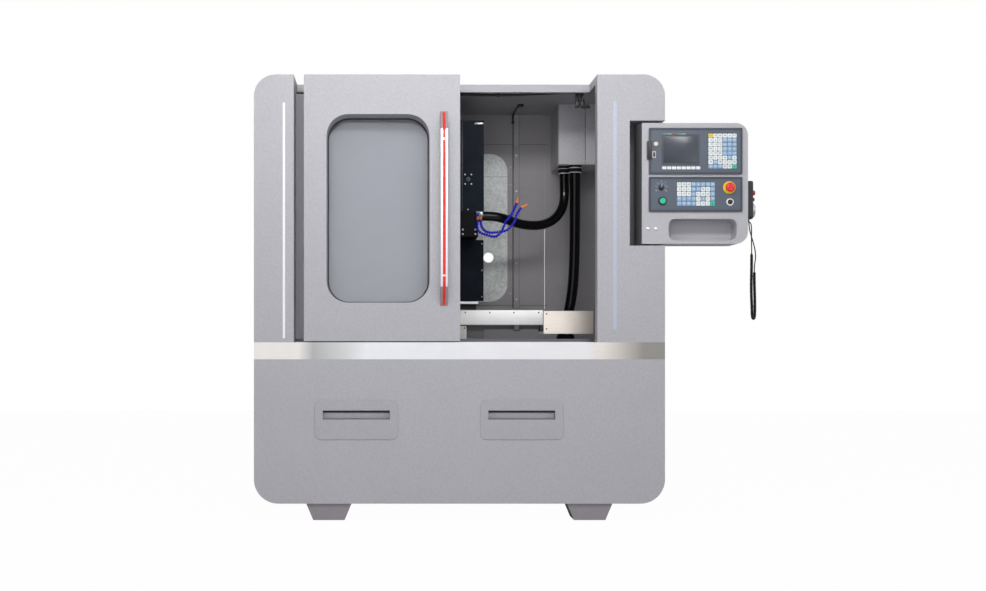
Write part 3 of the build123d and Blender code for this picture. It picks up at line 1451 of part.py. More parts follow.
with BuildPart() as pendant_wheel:
    side_bar(pendant_wheel_z, 30, 1, 12)
    side_bar(pendant_wheel_z, 22, 13, 3)
    side_bar(pendant_wheel_z, 4, -14, 17)
    with BuildSketch(Plane.YZ.offset(pendant_face + 16)):
        with Locations((pendant_middle, pendant_wheel_z + 16)):
            Circle(5)
    extrude(amount=4)
pendant_wheel.part.label = "pendant_wheel"
export_step(pendant_wheel.part, "parts/pendant_wheel.step")

with BuildPart() as pendant_knob:
    side_bar(pendant_knob_z, 7.5, 1, 15)
    side_bar(pendant_knob_z, 4, -14, 17)
pendant_knob.part.label = "pendant_knob"
export_step(pendant_knob.part, "parts/pendant_knob.step")

pendant_estop_travel = 3
with BuildPart() as pendant_estop:
    side_bar(pendant_estop_z, 11, pendant_estop_travel + 1, 15)
    side_bar(pendant_estop_z, 4, -12, 18)
pendant_estop.part.label = "pendant_estop"
export_step(pendant_estop.part, "parts/pendant_estop.step")

# Pendant cord: a lead from the pod, a coiled stretch that hangs in a U, and a lead up to the pendant.
coil_left = (1272, 60, 1152)
coil_right = (1290, 84, 1074)
pod_lead_route = (
    (pod_right - 1, lead_depth, lead_z), (1251, lead_depth, lead_z), (1262.3, 50.5, 1286.5),
    (1268.8, 51, 1275.2), (1270, 53, 1248), (1270, 56.5, 1214), (1272, 60, 1181), coil_left,
)
pendant_lead_route = (
    (cord_exit_x, 70, pendant_bottom + 6), (cord_exit_x, 70, 1280), (1268, 71, 1244), (1281, 73, 1206),
    (1292, 77, 1168), (1295.5, 81, 1132), (1290, 84, 1102), coil_right,
)
coil_route = (
    coil_left, (1272, 60, 1092), (1270, 59, 1030), (1270, 58, 972), (1273, 60, 918), (1274, 61, 870),
    (1292, 85, 870), (1293, 86, 918), (1292, 85, 970), (1290, 84, 1022), coil_right,
)
with BuildPart() as pendant_cord:
    for route in (pod_lead_route, pendant_lead_route):
        with BuildLine():
            curve, lead_radii = tube_path([(x, front + depth, z) for x, depth, z in route])
        with BuildSketch(Plane(origin=curve @ 0, z_dir=curve % 0)):
            Circle(pendant_cord_diameter / 2)
        sweep(path=curve)
        print(f"pendant lead: length {curve.length:.0f}, "
              f"tightest arc {min(lead_radii) / pendant_cord_diameter:.2f} diameters")
pendant_cord.part.label = "pendant_cord"
export_step(pendant_cord.part, "parts/pendant_cord.step")

with BuildPart() as pendant_coil:
    with BuildLine():
        curve, coil_radii = tube_path([(x, front + depth, z) for x, depth, z in coil_route])
    with BuildSketch(Plane(origin=curve @ 0, z_dir=curve % 0)):
        Circle(coil_diameter / 2)
    sweep(path=curve)
pendant_coil.part.label = "pendant_coil"
export_step(pendant_coil.part, "parts/pendant_coil.step")
report_cord("pendant_coil", curve, coil_radii, coil_diameter, pendant_coil.part)
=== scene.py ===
import math

import bmesh
import bpy
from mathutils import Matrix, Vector


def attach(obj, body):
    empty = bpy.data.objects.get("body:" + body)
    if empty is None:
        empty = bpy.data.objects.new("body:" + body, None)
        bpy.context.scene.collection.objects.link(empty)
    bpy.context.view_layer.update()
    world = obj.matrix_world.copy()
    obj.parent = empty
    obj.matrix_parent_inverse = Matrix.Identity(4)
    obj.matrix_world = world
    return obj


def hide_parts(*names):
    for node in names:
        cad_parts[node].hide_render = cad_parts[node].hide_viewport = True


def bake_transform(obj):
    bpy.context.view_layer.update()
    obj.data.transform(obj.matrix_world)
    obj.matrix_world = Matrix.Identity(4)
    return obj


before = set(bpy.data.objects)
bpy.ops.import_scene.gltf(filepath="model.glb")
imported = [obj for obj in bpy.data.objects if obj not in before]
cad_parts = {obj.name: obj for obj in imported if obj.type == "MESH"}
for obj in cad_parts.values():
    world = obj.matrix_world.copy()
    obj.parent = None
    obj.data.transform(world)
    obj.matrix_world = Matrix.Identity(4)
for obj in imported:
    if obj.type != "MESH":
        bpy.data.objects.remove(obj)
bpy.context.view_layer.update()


# Studio: a white sweep of paper under the machine, four soft lamps and an even white room.
# The camera stands six metres in front of the cabinet, level with the window's lower half.
front = -0.530
stand_off = 6.0
mm_per_pixel = 4.3
picture_width = 986
picture_middle = (493, 295.5)
eye_pixel = (389, 340)
scene = bpy.context.scene
scene.view_settings.view_transform = "Standard"

camera_data = bpy.data.cameras.new("camera")
camera = bpy.data.objects.new("camera", camera_data)
scene.collection.objects.link(camera)
scene.camera = camera
camera.location = (-0.303, front - stand_off, 0.776)
camera.rotation_euler = (math.radians(90), 0, 0)
camera_data.sensor_width = 36
camera_data.lens = 36 * stand_off * 1000 / (picture_width * mm_per_pixel)
camera_data.shift_x = (picture_middle[0] - eye_pixel[0]) / picture_width
camera_data.shift_y = (eye_pixel[1] - picture_middle[1]) / picture_width
camera_data.clip_end = 60


def new_material(name):
    """Material with its Principled shader, as (material, node tree, shader)."""
    material = bpy.data.materials.new(name)
    material.use_nodes = True
    return material, material.node_tree, material.node_tree.nodes["Principled BSDF"]


def set_inputs(tree, node, inputs):
    """Give a node's inputs their links, numbers, vectors and colours."""
    for label, value in inputs.items():
        socket = node.inputs[label]
        if isinstance(value, bpy.types.NodeSocket):
            tree.links.new(value, socket)
        else:
            socket.default_value = (*value, 1) if socket.type == "RGBA" else value


def add_node(tree, kind, inputs=None, **settings):
    """Shader node of a kind with its settings and inputs, as its outputs."""
    node = tree.nodes.new("ShaderNode" + kind)
    for label, value in settings.items():
        setattr(node, label, value)
    set_inputs(tree, node, inputs or {})
    return node.outputs


def add_math(tree, operation, *values):
    """Result of an operation on numbers and links."""
    return add_node(tree, "Math", dict(enumerate(values)), operation=operation)[0]


def add_blend(tree, share, under, over):
    """Colour between two others."""
    return add_node(tree, "Mix", {"Factor": share, "A": under, "B": over}, data_type="RGBA")["Result"]


def mesh_piece(name, verts, faces, material):
    """Mesh object of one material in the scene."""
    mesh = bpy.data.meshes.new(name)
    mesh.from_pydata(verts, [], faces)
    mesh.update()
    mesh.materials.append(material)
    piece = bpy.data.objects.new(name, mesh)
    scene.collection.objects.link(piece)
    return piece


paper, tree, shader = new_material("studio_paper")
set_inputs(tree, shader, {"Base Color": (0.86, 0.86, 0.87), "Roughness": 0.9, "Specular IOR Level": 0.1})
seen_white = add_math(tree, "MULTIPLY", add_node(tree, "LightPath")["Is Camera Ray"], 0.98)
glow = add_node(tree, "Emission", {"Color": (1, 1, 1)})["Emission"]
sweep = add_node(tree, "MixShader", {"Fac": seen_white, 1: shader.outputs["BSDF"], 2: glow})["Shader"]
set_inputs(tree, tree.nodes["Material Output"], {"Surface": sweep})
floor = mesh_piece("studio_floor", [(-9, -9, 0), (9, -9, 0), (9, 9, 0), (-9, 9, 0)], [(0, 1, 2, 3)], paper)

world = bpy.data.worlds.new("studio_room")
scene.world = world
world.use_nodes = True
tree = world.node_tree
rays = add_node(tree, "LightPath")
bounced = add_math(tree, "MAXIMUM", rays["Is Glossy Ray"], rays["Is Transmission Ray"])
white_rays = add_math(tree, "MAXIMUM", rays["Is Camera Ray"], bounced)
room_tone = add_blend(tree, white_rays, (0.29, 0.295, 0.31), (1, 1, 1))
set_inputs(tree, tree.nodes["Background"], {"Color": room_tone, "Strength": 1.0})


def soft_lamp(name, place, aim, size, watts):
    """Area lamp of a width and height at a place, turned towards an aim."""
    data = bpy.data.lights.new(name, "AREA")
    data.shape = "RECTANGLE"
    data.size, data.size_y = size
    data.energy = watts
    lamp = bpy.data.objects.new(name, data)
    scene.collection.objects.link(lamp)
    lamp.location = place
    lamp.visible_camera = False
    lamp.rotation_euler = (Vector(aim) - Vector(place)).to_track_quat("-Z", "Y").to_euler()
    return lamp


soft_lamp("lamp_strip", (-0.05, -2.2, 2.36), (0, 0, 1.45), (2.6, 0.25), 29)
soft_lamp("lamp_front", (-0.3, -7.0, 1.35), (0, 0, 1.2), (4.0, 4.0), 110).visible_glossy = False
soft_lamp("lamp_left", (-4.0, -3.2, 2.2), (0, 0, 1.0), (2.2, 2.2), 14)
soft_lamp("lamp_right", (4.0, -3.6, 2.0), (0, 0, 1.0), (2.2, 2.2), 14)


# Painted cabinet sheets: folded steel with a fine-grained grey powder coat, baked on after folding.
# The roof, sides, pillars, door, lower front, back and pod all wear the same coat.
def at(x, depth, z):
    """Place in metres, from X, depth behind the cabinet's front and Z in millimetres."""
    return Vector((x / 1000, front + depth / 1000, z / 1000))


def finish_group(name, inputs):
    """Node group with named inputs that gives a colour, gloss and relief, as (tree, inputs, output node)."""
    tree = bpy.data.node_groups.new(name, "ShaderNodeTree")
    outputs = {"Color": "Color", "Roughness": "Float", "Height": "Float"}
    for side, sockets in (("INPUT", inputs), ("OUTPUT", outputs)):
        for label, kind in sockets.items():
            tree.interface.new_socket(name=label, in_out=side, socket_type="NodeSocket" + kind)
    return tree, tree.nodes.new("NodeGroupInput").outputs, tree.nodes.new("NodeGroupOutput")


def object_place(tree):
    """Place on the surface in the object's own space."""
    return add_node(tree, "TexCoord")["Object"]


def add_noise(tree, scale, detail=2, roughness=0.5, place=None):
    """Noise over the object's own space, or over another place."""
    place = place or object_place(tree)
    noise = {"Vector": place, "Scale": scale, "Detail": detail, "Roughness": roughness}
    return add_node(tree, "TexNoise", noise)["Fac"]


def add_range(tree, value, start=0, end=1, low=0, high=1):
    """Value carried from one range over to another."""
    limits = {"Value": value, "From Min": start, "From Max": end, "To Min": low, "To Max": high}
    return add_node(tree, "MapRange", limits)["Result"]


def give_finish(tree, made, colour, shade, grain, smooth, rough):
    """Connect a group's outputs: a colour scaled by a shade, and gloss and relief from a grain."""
    tint = add_node(tree, "VectorMath", {0: colour, "Scale": shade}, operation="SCALE")["Vector"]
    gloss = add_range(tree, grain, 0, 1, smooth, rough)
    set_inputs(tree, made, {"Color": tint, "Roughness": gloss, "Height": grain})


powder_coat, given, made = finish_group(
    "powder_coat", {"Paint": "Color", "Fleck": "Float", "Smudge": "Float"})
grain = add_noise(powder_coat, 190, 3, 0.65)
fleck = add_math(powder_coat, "MULTIPLY", add_math(powder_coat, "SUBTRACT", grain, 0.5), given["Fleck"])
cloud = add_math(powder_coat, "SUBTRACT", add_noise(powder_coat, 5.5, 4), 0.5)
smudge = add_math(powder_coat, "MULTIPLY_ADD", cloud, given["Smudge"], fleck)
give_finish(powder_coat, made, given["Paint"], add_math(powder_coat, "ADD", smudge, 1.0), grain, 0.42, 0.62)


def add_bump(tree, height, strength, distance):
    """Normal bent by a height."""
    return add_node(tree, "Bump", {"Height": height, "Strength": strength, "Distance": distance})["Normal"]


def group_finish(name, group, inputs, strength, distance):
    """Material that wears a finish group, given its inputs and the depth of its relief."""
    material, tree, shader = new_material(name)
    skin = add_node(tree, "Group", inputs, node_tree=group)
    set_inputs(tree, shader, {"Base Color": skin["Color"], "Roughness": skin["Roughness"],
                              "Normal": add_bump(tree, skin["Height"], strength, distance)})
    return material


def coated(name, paint, fleck, smudge):
    """Powder-coated sheet in one paint colour."""
    inputs = {"Paint": paint, "Fleck": fleck, "Smudge": smudge}
    return group_finish(name, powder_coat, inputs, 0.35, 0.0006)


def finish_nodes(material, *names):
    """Give CAD nodes their finish."""
    for name in names:
        for material_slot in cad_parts[name].material_slots:
            material_slot.material = material


grey_coat = coated("grey_coat", (0.430, 0.424, 0.452), 0.55, 0.05)
# The junction box wears a lighter copy of the cabinet's grey coat, as painted light on the box and its lid.
box_painted_light_coat = coated("box_painted_light_coat", (0.62, 0.61, 0.64), 0.5, 0.05)
finish_nodes(grey_coat, "left_side_panel", "right_side_panel", "left_pillar", "right_pillar",
             "lower_front_panel", "roof_panel", "door_shell")
finish_nodes(box_painted_light_coat, "junction_box")
# The back panel, floor pan and pod recess wear a darker copy of the grey coat, as painted shade inside the
# cabinet.
finish_nodes(coated("inside_painted_shade_coat", (0.37, 0.355, 0.37), 0.45, 0.10), "back_panel", "floor_pan", "pod_recess")
finish_nodes(coated("plate_coat", (0.41, 0.40, 0.43), 0.5, 0.05), "pull_plates")
finish_nodes(coated("foot_coat", (0.27, 0.25, 0.27), 0.4, 0.10), "feet")


# Coloured stripes: a white vinyl line on the left pillar and a pale blue-grey one on the right,
# both with square ends and laid flat on the coat.
def plain_finish(name, colour, roughness, metallic=0.0, coat=0.0, scale=120, spread=0.08):
    """Finish with a slight unevenness in its colour and gloss."""
    material, tree, shader = new_material(name)
    noise = add_noise(tree, scale, 4)
    tone = add_blend(tree, noise, [c * 0.92 for c in colour], [min(1, c * 1.08) for c in colour])
    gloss = add_range(tree, noise, 0, 1, max(0.02, roughness - spread), roughness + spread)
    set_inputs(tree, shader, {"Base Color": tone, "Roughness": gloss,
                              "Metallic": metallic, "Coat Weight": coat})
    return material


vinyl_lift = 0.4
for name, vinyl, (left, right, bottom, top) in (
        ("left_pillar_stripe", plain_finish("white_vinyl", (0.86, 0.87, 0.88), 0.4), (-760, -750, 783, 1797)),
        ("right_pillar_stripe", plain_finish("blue_vinyl", (0.47, 0.50, 0.60), 0.4), (661, 676, 823, 1802))):
    corners = [at(x, depth, z) for depth in (0, -vinyl_lift)
               for x, z in ((left, bottom), (right, bottom), (right, top), (left, top))]
    faces = [(4, 5, 6, 7), (0, 1, 5, 4), (1, 2, 6, 5), (2, 3, 7, 6), (3, 0, 4, 7), (3, 2, 1, 0)]
    stripe = mesh_piece(name, corners, faces, vinyl)
    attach(stripe, "cabinet")


# Stainless sill: one long folded strip of brushed stainless across the whole front, darker and warmer towards
# its right end, with the dull door guide along its back; the same steel covers the X motor.
brushed_grain, given, made = finish_group(
    "brushed_grain", {"Steel": "Color", "Stretch": "Vector", "Contrast": "Float"})
stretched = add_node(brushed_grain, "VectorMath", {0: object_place(brushed_grain), 1: given["Stretch"]},
                     operation="MULTIPLY")["Vector"]
hairs = add_noise(brushed_grain, 1.0, 6, 0.7, stretched)
both = add_math(brushed_grain, "ADD", hairs, add_noise(brushed_grain, 7, 5))
level = add_math(brushed_grain, "SUBTRACT", both, 1.0)
shade = add_math(brushed_grain, "MULTIPLY_ADD", level, given["Contrast"], 1.0)
give_finish(brushed_grain, made, given["Steel"], shade, hairs, 0.26, 0.46)


def brushed(name, steel, stretch, contrast):
    """Brushed steel, its hairs drawn out along the axis with the smallest stretch."""
    inputs = {"Steel": steel, "Stretch": stretch, "Contrast": contrast}
    material = group_finish(name, brushed_grain, inputs, 0.2, 0.0002)
    material.node_tree.nodes["Principled BSDF"].inputs["Metallic"].default_value = 1.0
    return material


sill_steel = brushed("sill_steel", (0.88, 0.88, 0.90), (6, 300, 420), 0.18)
cover_steel = brushed("cover_steel", (1.0, 0.91, 0.83), (8, 300, 300), 0.30)
bright_steel = brushed("bright_steel", (0.82, 0.83, 0.85), (20, 200, 200), 0.25)

sill_half_width = 0.9
guide_base, guide_edge = 0.7665, 0.7680
guide_dull = (0.125, 0.122, 0.145)
tree = sill_steel.node_tree
along = add_node(tree, "SeparateXYZ", {"Vector": object_place(tree)})
ramp_place = add_range(tree, along["X"], -sill_half_width, sill_half_width)
# The ramp makes the steel darker and warmer towards its right end, with a darker band near its left.
sill_tone_ramp = add_node(tree, "ValToRGB", {"Fac": ramp_place})["Color"]
stops = sill_tone_ramp.node.color_ramp.elements
stops[0].position, stops[1].position = 0.115, 0.99
stops[0].color, stops[1].color = (0.89, 0.86, 0.83, 1), (0.32, 0.31, 0.30, 1)
for position, colour in ((0.15, (0.50, 0.51, 0.51, 1)), (0.28, (0.88, 0.89, 0.91, 1)),
                         (0.80, (0.88, 0.88, 0.90, 1)), (0.84, (0.86, 0.80, 0.76, 1)),
                         (0.94, (0.34, 0.32, 0.30, 1))):
    stops.new(position).color = colour
guide_mask = add_range(tree, along["Z"], guide_base, guide_edge)
set_inputs(tree, tree.nodes["Group"], {"Steel": add_blend(tree, guide_mask, sill_tone_ramp, guide_dull)})
finish_nodes(sill_steel, "sill_strip")
finish_nodes(cover_steel, "x_motor_cover")
finish_nodes(bright_steel, "door_rail", "drip_strip", "coolant_tank", "x_screw", "y_screw", "z_screw",
             "spindle")


# Rear window: two galvanised sheets screwed on outside the opening, their zinc spangle dulled by
# dried coolant that has splashed up them.
spangle, tree, shader = new_material("galvanised_spangle")
flakes = add_node(tree, "TexVoronoi", {"Vector": object_place(tree), "Scale": 110})["Color"]
flake_grey = add_node(tree, "RGBToBW", {"Color": flakes})["Val"]
flake_tone = add_blend(tree, flake_grey, (0.66, 0.70, 0.69), (0.90, 0.93, 0.91))
splash = add_range(tree, add_noise(tree, 14, 6, 0.75), 0.52, 0.80)
set_inputs(tree, shader, {"Base Color": add_blend(tree, splash, flake_tone, (0.42, 0.42, 0.38)),
                          "Metallic": 0.12, "Roughness": 0.5})
finish_nodes(spangle, "rear_window_sheets")


# Sliding door: a deep folded shell with a tunnel round its window. A clear sheet is clipped in from
# behind on a black rubber seal, in front of the grey inner panel.
def rounded_outline(low, high, radius, steps):
    """Upright rectangle with rounded corners as (X, Z) pairs, anticlockwise as the operator sees it."""
    (left, bottom), (right, top) = low, high
    turns = ((right - radius, bottom + radius, -90), (right - radius, top - radius, 0),
             (left + radius, top - radius, 90), (left + radius, bottom + radius, 180))
    return [(x + radius * math.cos(math.radians(start + 90 * step / steps)),
             z + radius * math.sin(math.radians(start + 90 * step / steps)))
            for x, z, start in turns for step in range(steps + 1)]


def add_rings(mesh, rings, index=0, closed=False):
    """Skin a list of equal rings of places with quads, closed round or capped at both ends."""
    loops = [[mesh.verts.new(place) for place in ring] for ring in rings]
    for here, there in zip(loops, loops[1:] + loops[:1] if closed else loops[1:]):
        for number in range(len(here)):
            after = (number + 1) % len(here)
            mesh.faces.new((here[number], there[number], there[after], here[after])).material_index = index
    if not closed:
        mesh.faces.new(loops[0]).material_index = index
        mesh.faces.new(reversed(loops[-1])).material_index = index


def swollen_rings(low, high, radius, least, layers, steps, place):
    """Rounded rectangles one behind another, each grown by its (growth, depth) pair."""
    rings = []
    for growth, depth in layers:
        outline = rounded_outline((low[0] - growth, low[1] - growth), (high[0] + growth, high[1] + growth),
                                  max(least, radius + growth), steps)
        rings.append([place(x, depth, z) for x, z in outline])
    return rings


def add_rim(mesh, low, high, radius, profile, index=0, steps=8, place=at):
    """Bead round a rounded rectangle, its section given as (outset, depth) pairs."""
    add_rings(mesh, swollen_rings(low, high, radius, 0.2, profile, steps, place), index, closed=True)


def add_pad(mesh, low, high, radius, near, far, edge=0.6, index=0, steps=3, place=at):
    """Raised pad with rounded corners and a softened front edge, between two depths."""
    layers = ((-edge, near), (-edge * 0.3, near + edge * 0.3), (0, near + edge), (0, far))
    add_rings(mesh, swollen_rings(low, high, radius, 0.15, layers, steps, place), index)


def spoke(side, across, angle):
    """Direction at an angle round an axis, from two directions square to it."""
    return side * math.cos(angle) + across * math.sin(angle)


def add_turned(mesh, origin, axis, profile, sides=24, index=0, lobes=0, lobe_depth=0.0):
    """Turn a profile of (radius, height) pairs in millimetres about an axis, fluted if lobes are given."""
    axis = Vector(axis).normalized()
    side = axis.orthogonal().normalized()
    across = axis.cross(side)
    loops = []
    for radius, height in profile:
        centre = origin + axis * (height / 1000)
        ring = []
        for angle in [2 * math.pi * turn / sides for turn in range(sides if radius else 0)]:
            reach = radius / 1000 * (1 - lobe_depth * (0.5 - 0.5 * math.cos(lobes * angle)))
            ring.append(centre + spoke(side, across, angle) * reach)
        loops.append([mesh.verts.new(place) for place in ring or [centre]])
    for lower, upper in zip(loops, loops[1:]):
        for turn in range(sides):
            after = (turn + 1) % sides
            if len(lower) == 1:
                corners = (lower[0], upper[after], upper[turn])
            elif len(upper) == 1:
                corners = (lower[turn], lower[after], upper[0])
            else:
                corners = (lower[turn], lower[after], upper[after], upper[turn])
            mesh.faces.new(corners).material_index = index


def make_piece(name, mesh, materials, body, sharp=32):
    """Turn a bmesh into a scene object with smooth faces and sharp creases, riding on a body."""
    mesh.normal_update()
    for edge in mesh.edges:
        edge.smooth = edge.calc_face_angle(0) < math.radians(sharp)
    for face in mesh.faces:
        face.smooth = True
    data = bpy.data.meshes.new(name)
    mesh.to_mesh(data)
    mesh.free()
    for material in materials:
        data.materials.append(material)
    piece = bpy.data.objects.new(name, data)
    scene.collection.objects.link(piece)
    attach(piece, body)
    return piece


mesh = bmesh.new()
add_rim(mesh, (-572, 937), (-128, 1748), 95,
        ((-5, 117.2), (-6, 118.4), (-6, 119.4), (0.2, 119.4), (0.2, 117.0), (-3, 116.4)), steps=14)
seal_rubber = plain_finish("seal_rubber", (0.05, 0.05, 0.055), 0.55, scale=200)
make_piece("window_seal", mesh, [seal_rubber], "door")

clear_sheet, tree, shader = new_material("clear_sheet")
haze = add_range(tree, add_noise(tree, 9, 5), 0.4, 0.8, 0.02, 0.12)
set_inputs(tree, shader, {"Base Color": (0.82, 0.84, 0.87), "Transmission Weight": 1.0, "IOR": 1.46,
                          "Roughness": haze})
finish_nodes(clear_sheet, "door_pane")
finish_nodes(plain_finish("white_nylon", (0.80, 0.80, 0.76), 0.5), "door_carriages")


# Door handle: a flat bow bar of bright anodised aluminium in two grey plastic ends that slope back to
# the door, with a red inlay down its whole length in three pieces.
bow_left, bow_right = -83, -51
bow_outer = [(0, 921), (-34, 978), (-43, 992), (-49, 1003), (-52, 1020), (-52, 1661), (-49, 1678),
             (-43, 1689), (-34, 1703), (0, 1760)]
bow_inner = [(0, 936.4), (-26, 981), (-34, 995), (-39, 1006), (-41, 1022), (-41, 1659), (-39, 1675),
             (-34, 1686), (-26, 1700), (0, 1744.6)]


def add_bow(mesh, inset, first, last, index=0):
    """Stretch of the bow between two stations, its long edges softened."""
    soft = 2.5
    rings = []
    for (outer_depth, outer_z), (inner_depth, inner_z) in list(zip(bow_outer, bow_inner))[first:last]:
        outer_depth = min(0, outer_depth + inset)
        inner_depth = min(0, inner_depth - inset)
        corners = [(bow_left, outer_depth + soft, 0.22), (bow_left + soft, outer_depth, 0),
                   (bow_right - soft, outer_depth, 0), (bow_right, outer_depth + soft, 0.22),
                   (bow_right, inner_depth - soft, 0.78), (bow_right - soft, inner_depth, 1),
                   (bow_left + soft, inner_depth, 1), (bow_left, inner_depth - soft, 0.78)]
        rings.append([at(x, min(-0.01, depth), outer_z + (inner_z - outer_z) * share)
                      for x, depth, share in corners])
    add_rings(mesh, rings, index)


bright_bar = brushed("bright_bar", (0.96, 0.965, 0.98), (300, 300, 4), 0.05)
end_plastic = plain_finish("end_plastic", (0.30, 0.27, 0.26), 0.4)
red_inlay = plain_finish("red_inlay", (0.72, 0.02, 0.03), 0.28)
mesh = bmesh.new()
add_bow(mesh, 0.15, 3, 7, 0)
add_bow(mesh, 0, 0, 4, 1)
add_bow(mesh, 0, 6, 10, 1)
handle = make_piece("bow_handle", mesh, [bright_bar, end_plastic], "door")
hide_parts("door_handle")

inlay_left, inlay_right = -73.2, -60.8
mesh = bmesh.new()
for stretch in ([(-3, 926)] + bow_outer[1:5] + [(-52, 1048)], [(-52, 1055), (-52, 1631)],
                [(-52, 1638)] + bow_outer[5:9] + [(-3, 1755)]):
    add_rings(mesh, [[at(inlay_left, depth - 0.3, z), at(inlay_right, depth - 0.3, z),
                      at(inlay_right, depth + 1.5, z), at(inlay_left, depth + 1.5, z)]
                     for depth, z in stretch])
make_piece("handle_inlay", mesh, [red_inlay], "door")


# Finger slots: the shallow box behind each pull plate, its back painted lighter as painted light, below a
# black strip of painted shadow under the upper edge and a darker strip of painted shade along the fold at the
# lower one.
slot_painted_light_coat = coated("slot_painted_light_coat", (0.60, 0.59, 0.62), 0.5, 0.05)
slot_painted_shadow = plain_finish("slot_painted_shadow", (0.03, 0.028, 0.03), 0.8)
slot_fold_shade = plain_finish("slot_fold_shade", (0.22, 0.21, 0.23), 0.6)
slot_back = 29.8
mesh = bmesh.new()
for x in (-443.5, 268):
    add_pad(mesh, (x - 143.6, 439), (x + 143.6, 463), 1, 26, slot_back, 1.0, 0)
    add_pad(mesh, (x - 143.8, 463), (x + 143.8, 472.8), 1, 12, slot_back, 2.0, 1)
    add_pad(mesh, (x - 143.8, 434.2), (x + 143.8, 439), 1, 8, slot_back, 1.5, 2)
make_piece("slot_liners", mesh, [slot_painted_light_coat, slot_painted_shadow, slot_fold_shade], "cabinet")


# Work area: bent sheets with the same coat, a stiffener on each side of the rear window held by
# bright rivets and run on up to the roof, and pan-head screws along the galvanised sheets.
forward = (0, -1, 0)
upward = (0, 0, 1)
sideways = (1, 0, 0)


def add_screw(mesh, place, axis, radius, index=0, height=2.2):
    """Button-head screw with a socket, standing on a surface."""
    add_turned(mesh, place, axis,
               ((radius, -0.4), (radius, 0.35 * height), (0.86 * radius, 0.8 * height),
                (0.55 * radius, height), (0.42 * radius, height), (0.36 * radius, 0.45 * height),
                (0, 0.4 * height)), 14, index)


screw_steel = plain_finish("screw_steel", (0.62, 0.62, 0.62), 0.3, metallic=1.0, scale=400)
black_oxide = plain_finish("black_oxide", (0.035, 0.035, 0.04), 0.38, metallic=0.6, scale=400)
stiffener_x, sheet_screw_x = 340, 311.064
mesh = bmesh.new()
for side in (-1, 1):
    x = side * stiffener_x
    for z in (981, 1163, 1345, 1528, 1708):
        add_screw(mesh, at(x, 1045.5, z), forward, 5, 0, 2.4)
    add_pad(mesh, (x - 14, 1756), (x + 14, 1914), 1, 1047, 1057.4, 0.8, 1)
    for z in (1010, 1190, 1370, 1560, 1650):
        add_screw(mesh, at(side * sheet_screw_x, 1055, z), forward, 3.5)
make_piece("stiffener_tops", mesh, [screw_steel, grey_coat], "cabinet")

dark_seam = plain_finish("dark_seam", (0.05, 0.048, 0.05), 0.7)
back_face, rear_skin = 1055, 1060
mesh = bmesh.new()
for low, high, depth in (
        ((-500, 1763.2), (500, 1764.6), back_face), ((-500, 949.2), (500, 950.8), back_face),
        ((322, 940), (326.2, 1914), back_face), ((-326.2, 940), (-322, 1914), back_face),
        ((353.8, 940), (356, 1914), back_face), ((-356, 940), (-353.8, 1914), back_face),
        ((-640, 1360), (-502, 1361.4), back_face), ((-329, 1600.4), (329, 1602), rear_skin)):
    add_pad(mesh, low, high, 0.4, depth - 0.25, depth + 0.5, 0.2)
add_pad(mesh, (482.6, 1337), (485, 1700), 0.5, 1054.7, 1055.5, 0.2, 1)
make_piece("back_seams", mesh, [dark_seam, grey_coat], "cabinet")


# Roof strap: a black block under the roof, from which a bent steel strap runs back and down the
# back sheet to a small foot.
mesh = bmesh.new()
add_pad(mesh, (322, 1904), (348, 1914.8), 2, 738, 760, 1.2)
add_rings(mesh, [[at(x, depth, z), at(x + 8, depth, z), at(x + 8, depth, z + 3.5), at(x, depth, z + 3.5)]
                 for x, depth, z in ((321, 746, 1908), (320, 800, 1909), (319, 900, 1910), (318, 1000, 1909),
                                     (318, 1034, 1903))])
add_pad(mesh, (317.5, 1868), (326, 1906), 2, 1031, 1034.5, 0.8)
add_pad(mesh, (316, 1868), (329, 1876), 2, 1030, 1055.4, 0.8)
make_piece("roof_strap", mesh, [black_oxide], "cabinet")


# Machine castings: grey cast-iron base, saddle and column, rough where cast and dull where scraped,
# with the painted frame of welded tube underneath.
def cast_iron(name, colour, roughness):
    """Painted casting with a sandy skin."""
    material, tree, shader = new_material(name)
    oil = add_noise(tree, 6, 5)
    sand = add_bump(tree, add_noise(tree, 90, 6), 0.5, 0.0015)
    set_inputs(tree, shader, {"Base Color": add_blend(tree, oil, [c * 0.8 for c in colour],
                                                      [c * 1.15 for c in colour]),
                              "Roughness": roughness, "Normal": sand})
    return material


finish_nodes(cast_iron("casting_dark", (0.065, 0.067, 0.073), 0.6), "column")
finish_nodes(cast_iron("casting_grey", (0.12, 0.118, 0.125), 0.6), "machine_base", "saddle")
finish_nodes(coated("frame_coat", (0.12, 0.12, 0.13), 0.2, 0.1), "base_frame")
finish_nodes(plain_finish("motor_black", (0.03, 0.03, 0.033), 0.45), "z_motor", "x_motor", "spindle_motor")


# Y motor: a light grey die-cast housing in front of the base, with a raised face held by four long
# screws and a round cap in its middle.
motor_grey = plain_finish("motor_grey", (0.60, 0.585, 0.55), 0.5)
finish_nodes(motor_grey, "y_motor")
motor_face = 282.5
mesh = bmesh.new()
add_pad(mesh, (-44, 768), (44, 837), 5, motor_face, motor_face + 2.7, 1.2)
for x in (-37, 37):
    for z in (775, 830):
        add_screw(mesh, at(x, motor_face + 0.2, z), forward, 3.4, 1)
add_turned(mesh, at(0, motor_face + 0.1, 803), forward, ((17, 0), (17, 1.2), (15.5, 2), (0, 2)), 32)
make_piece("y_motor_face", mesh, [motor_grey, black_oxide], "cabinet")


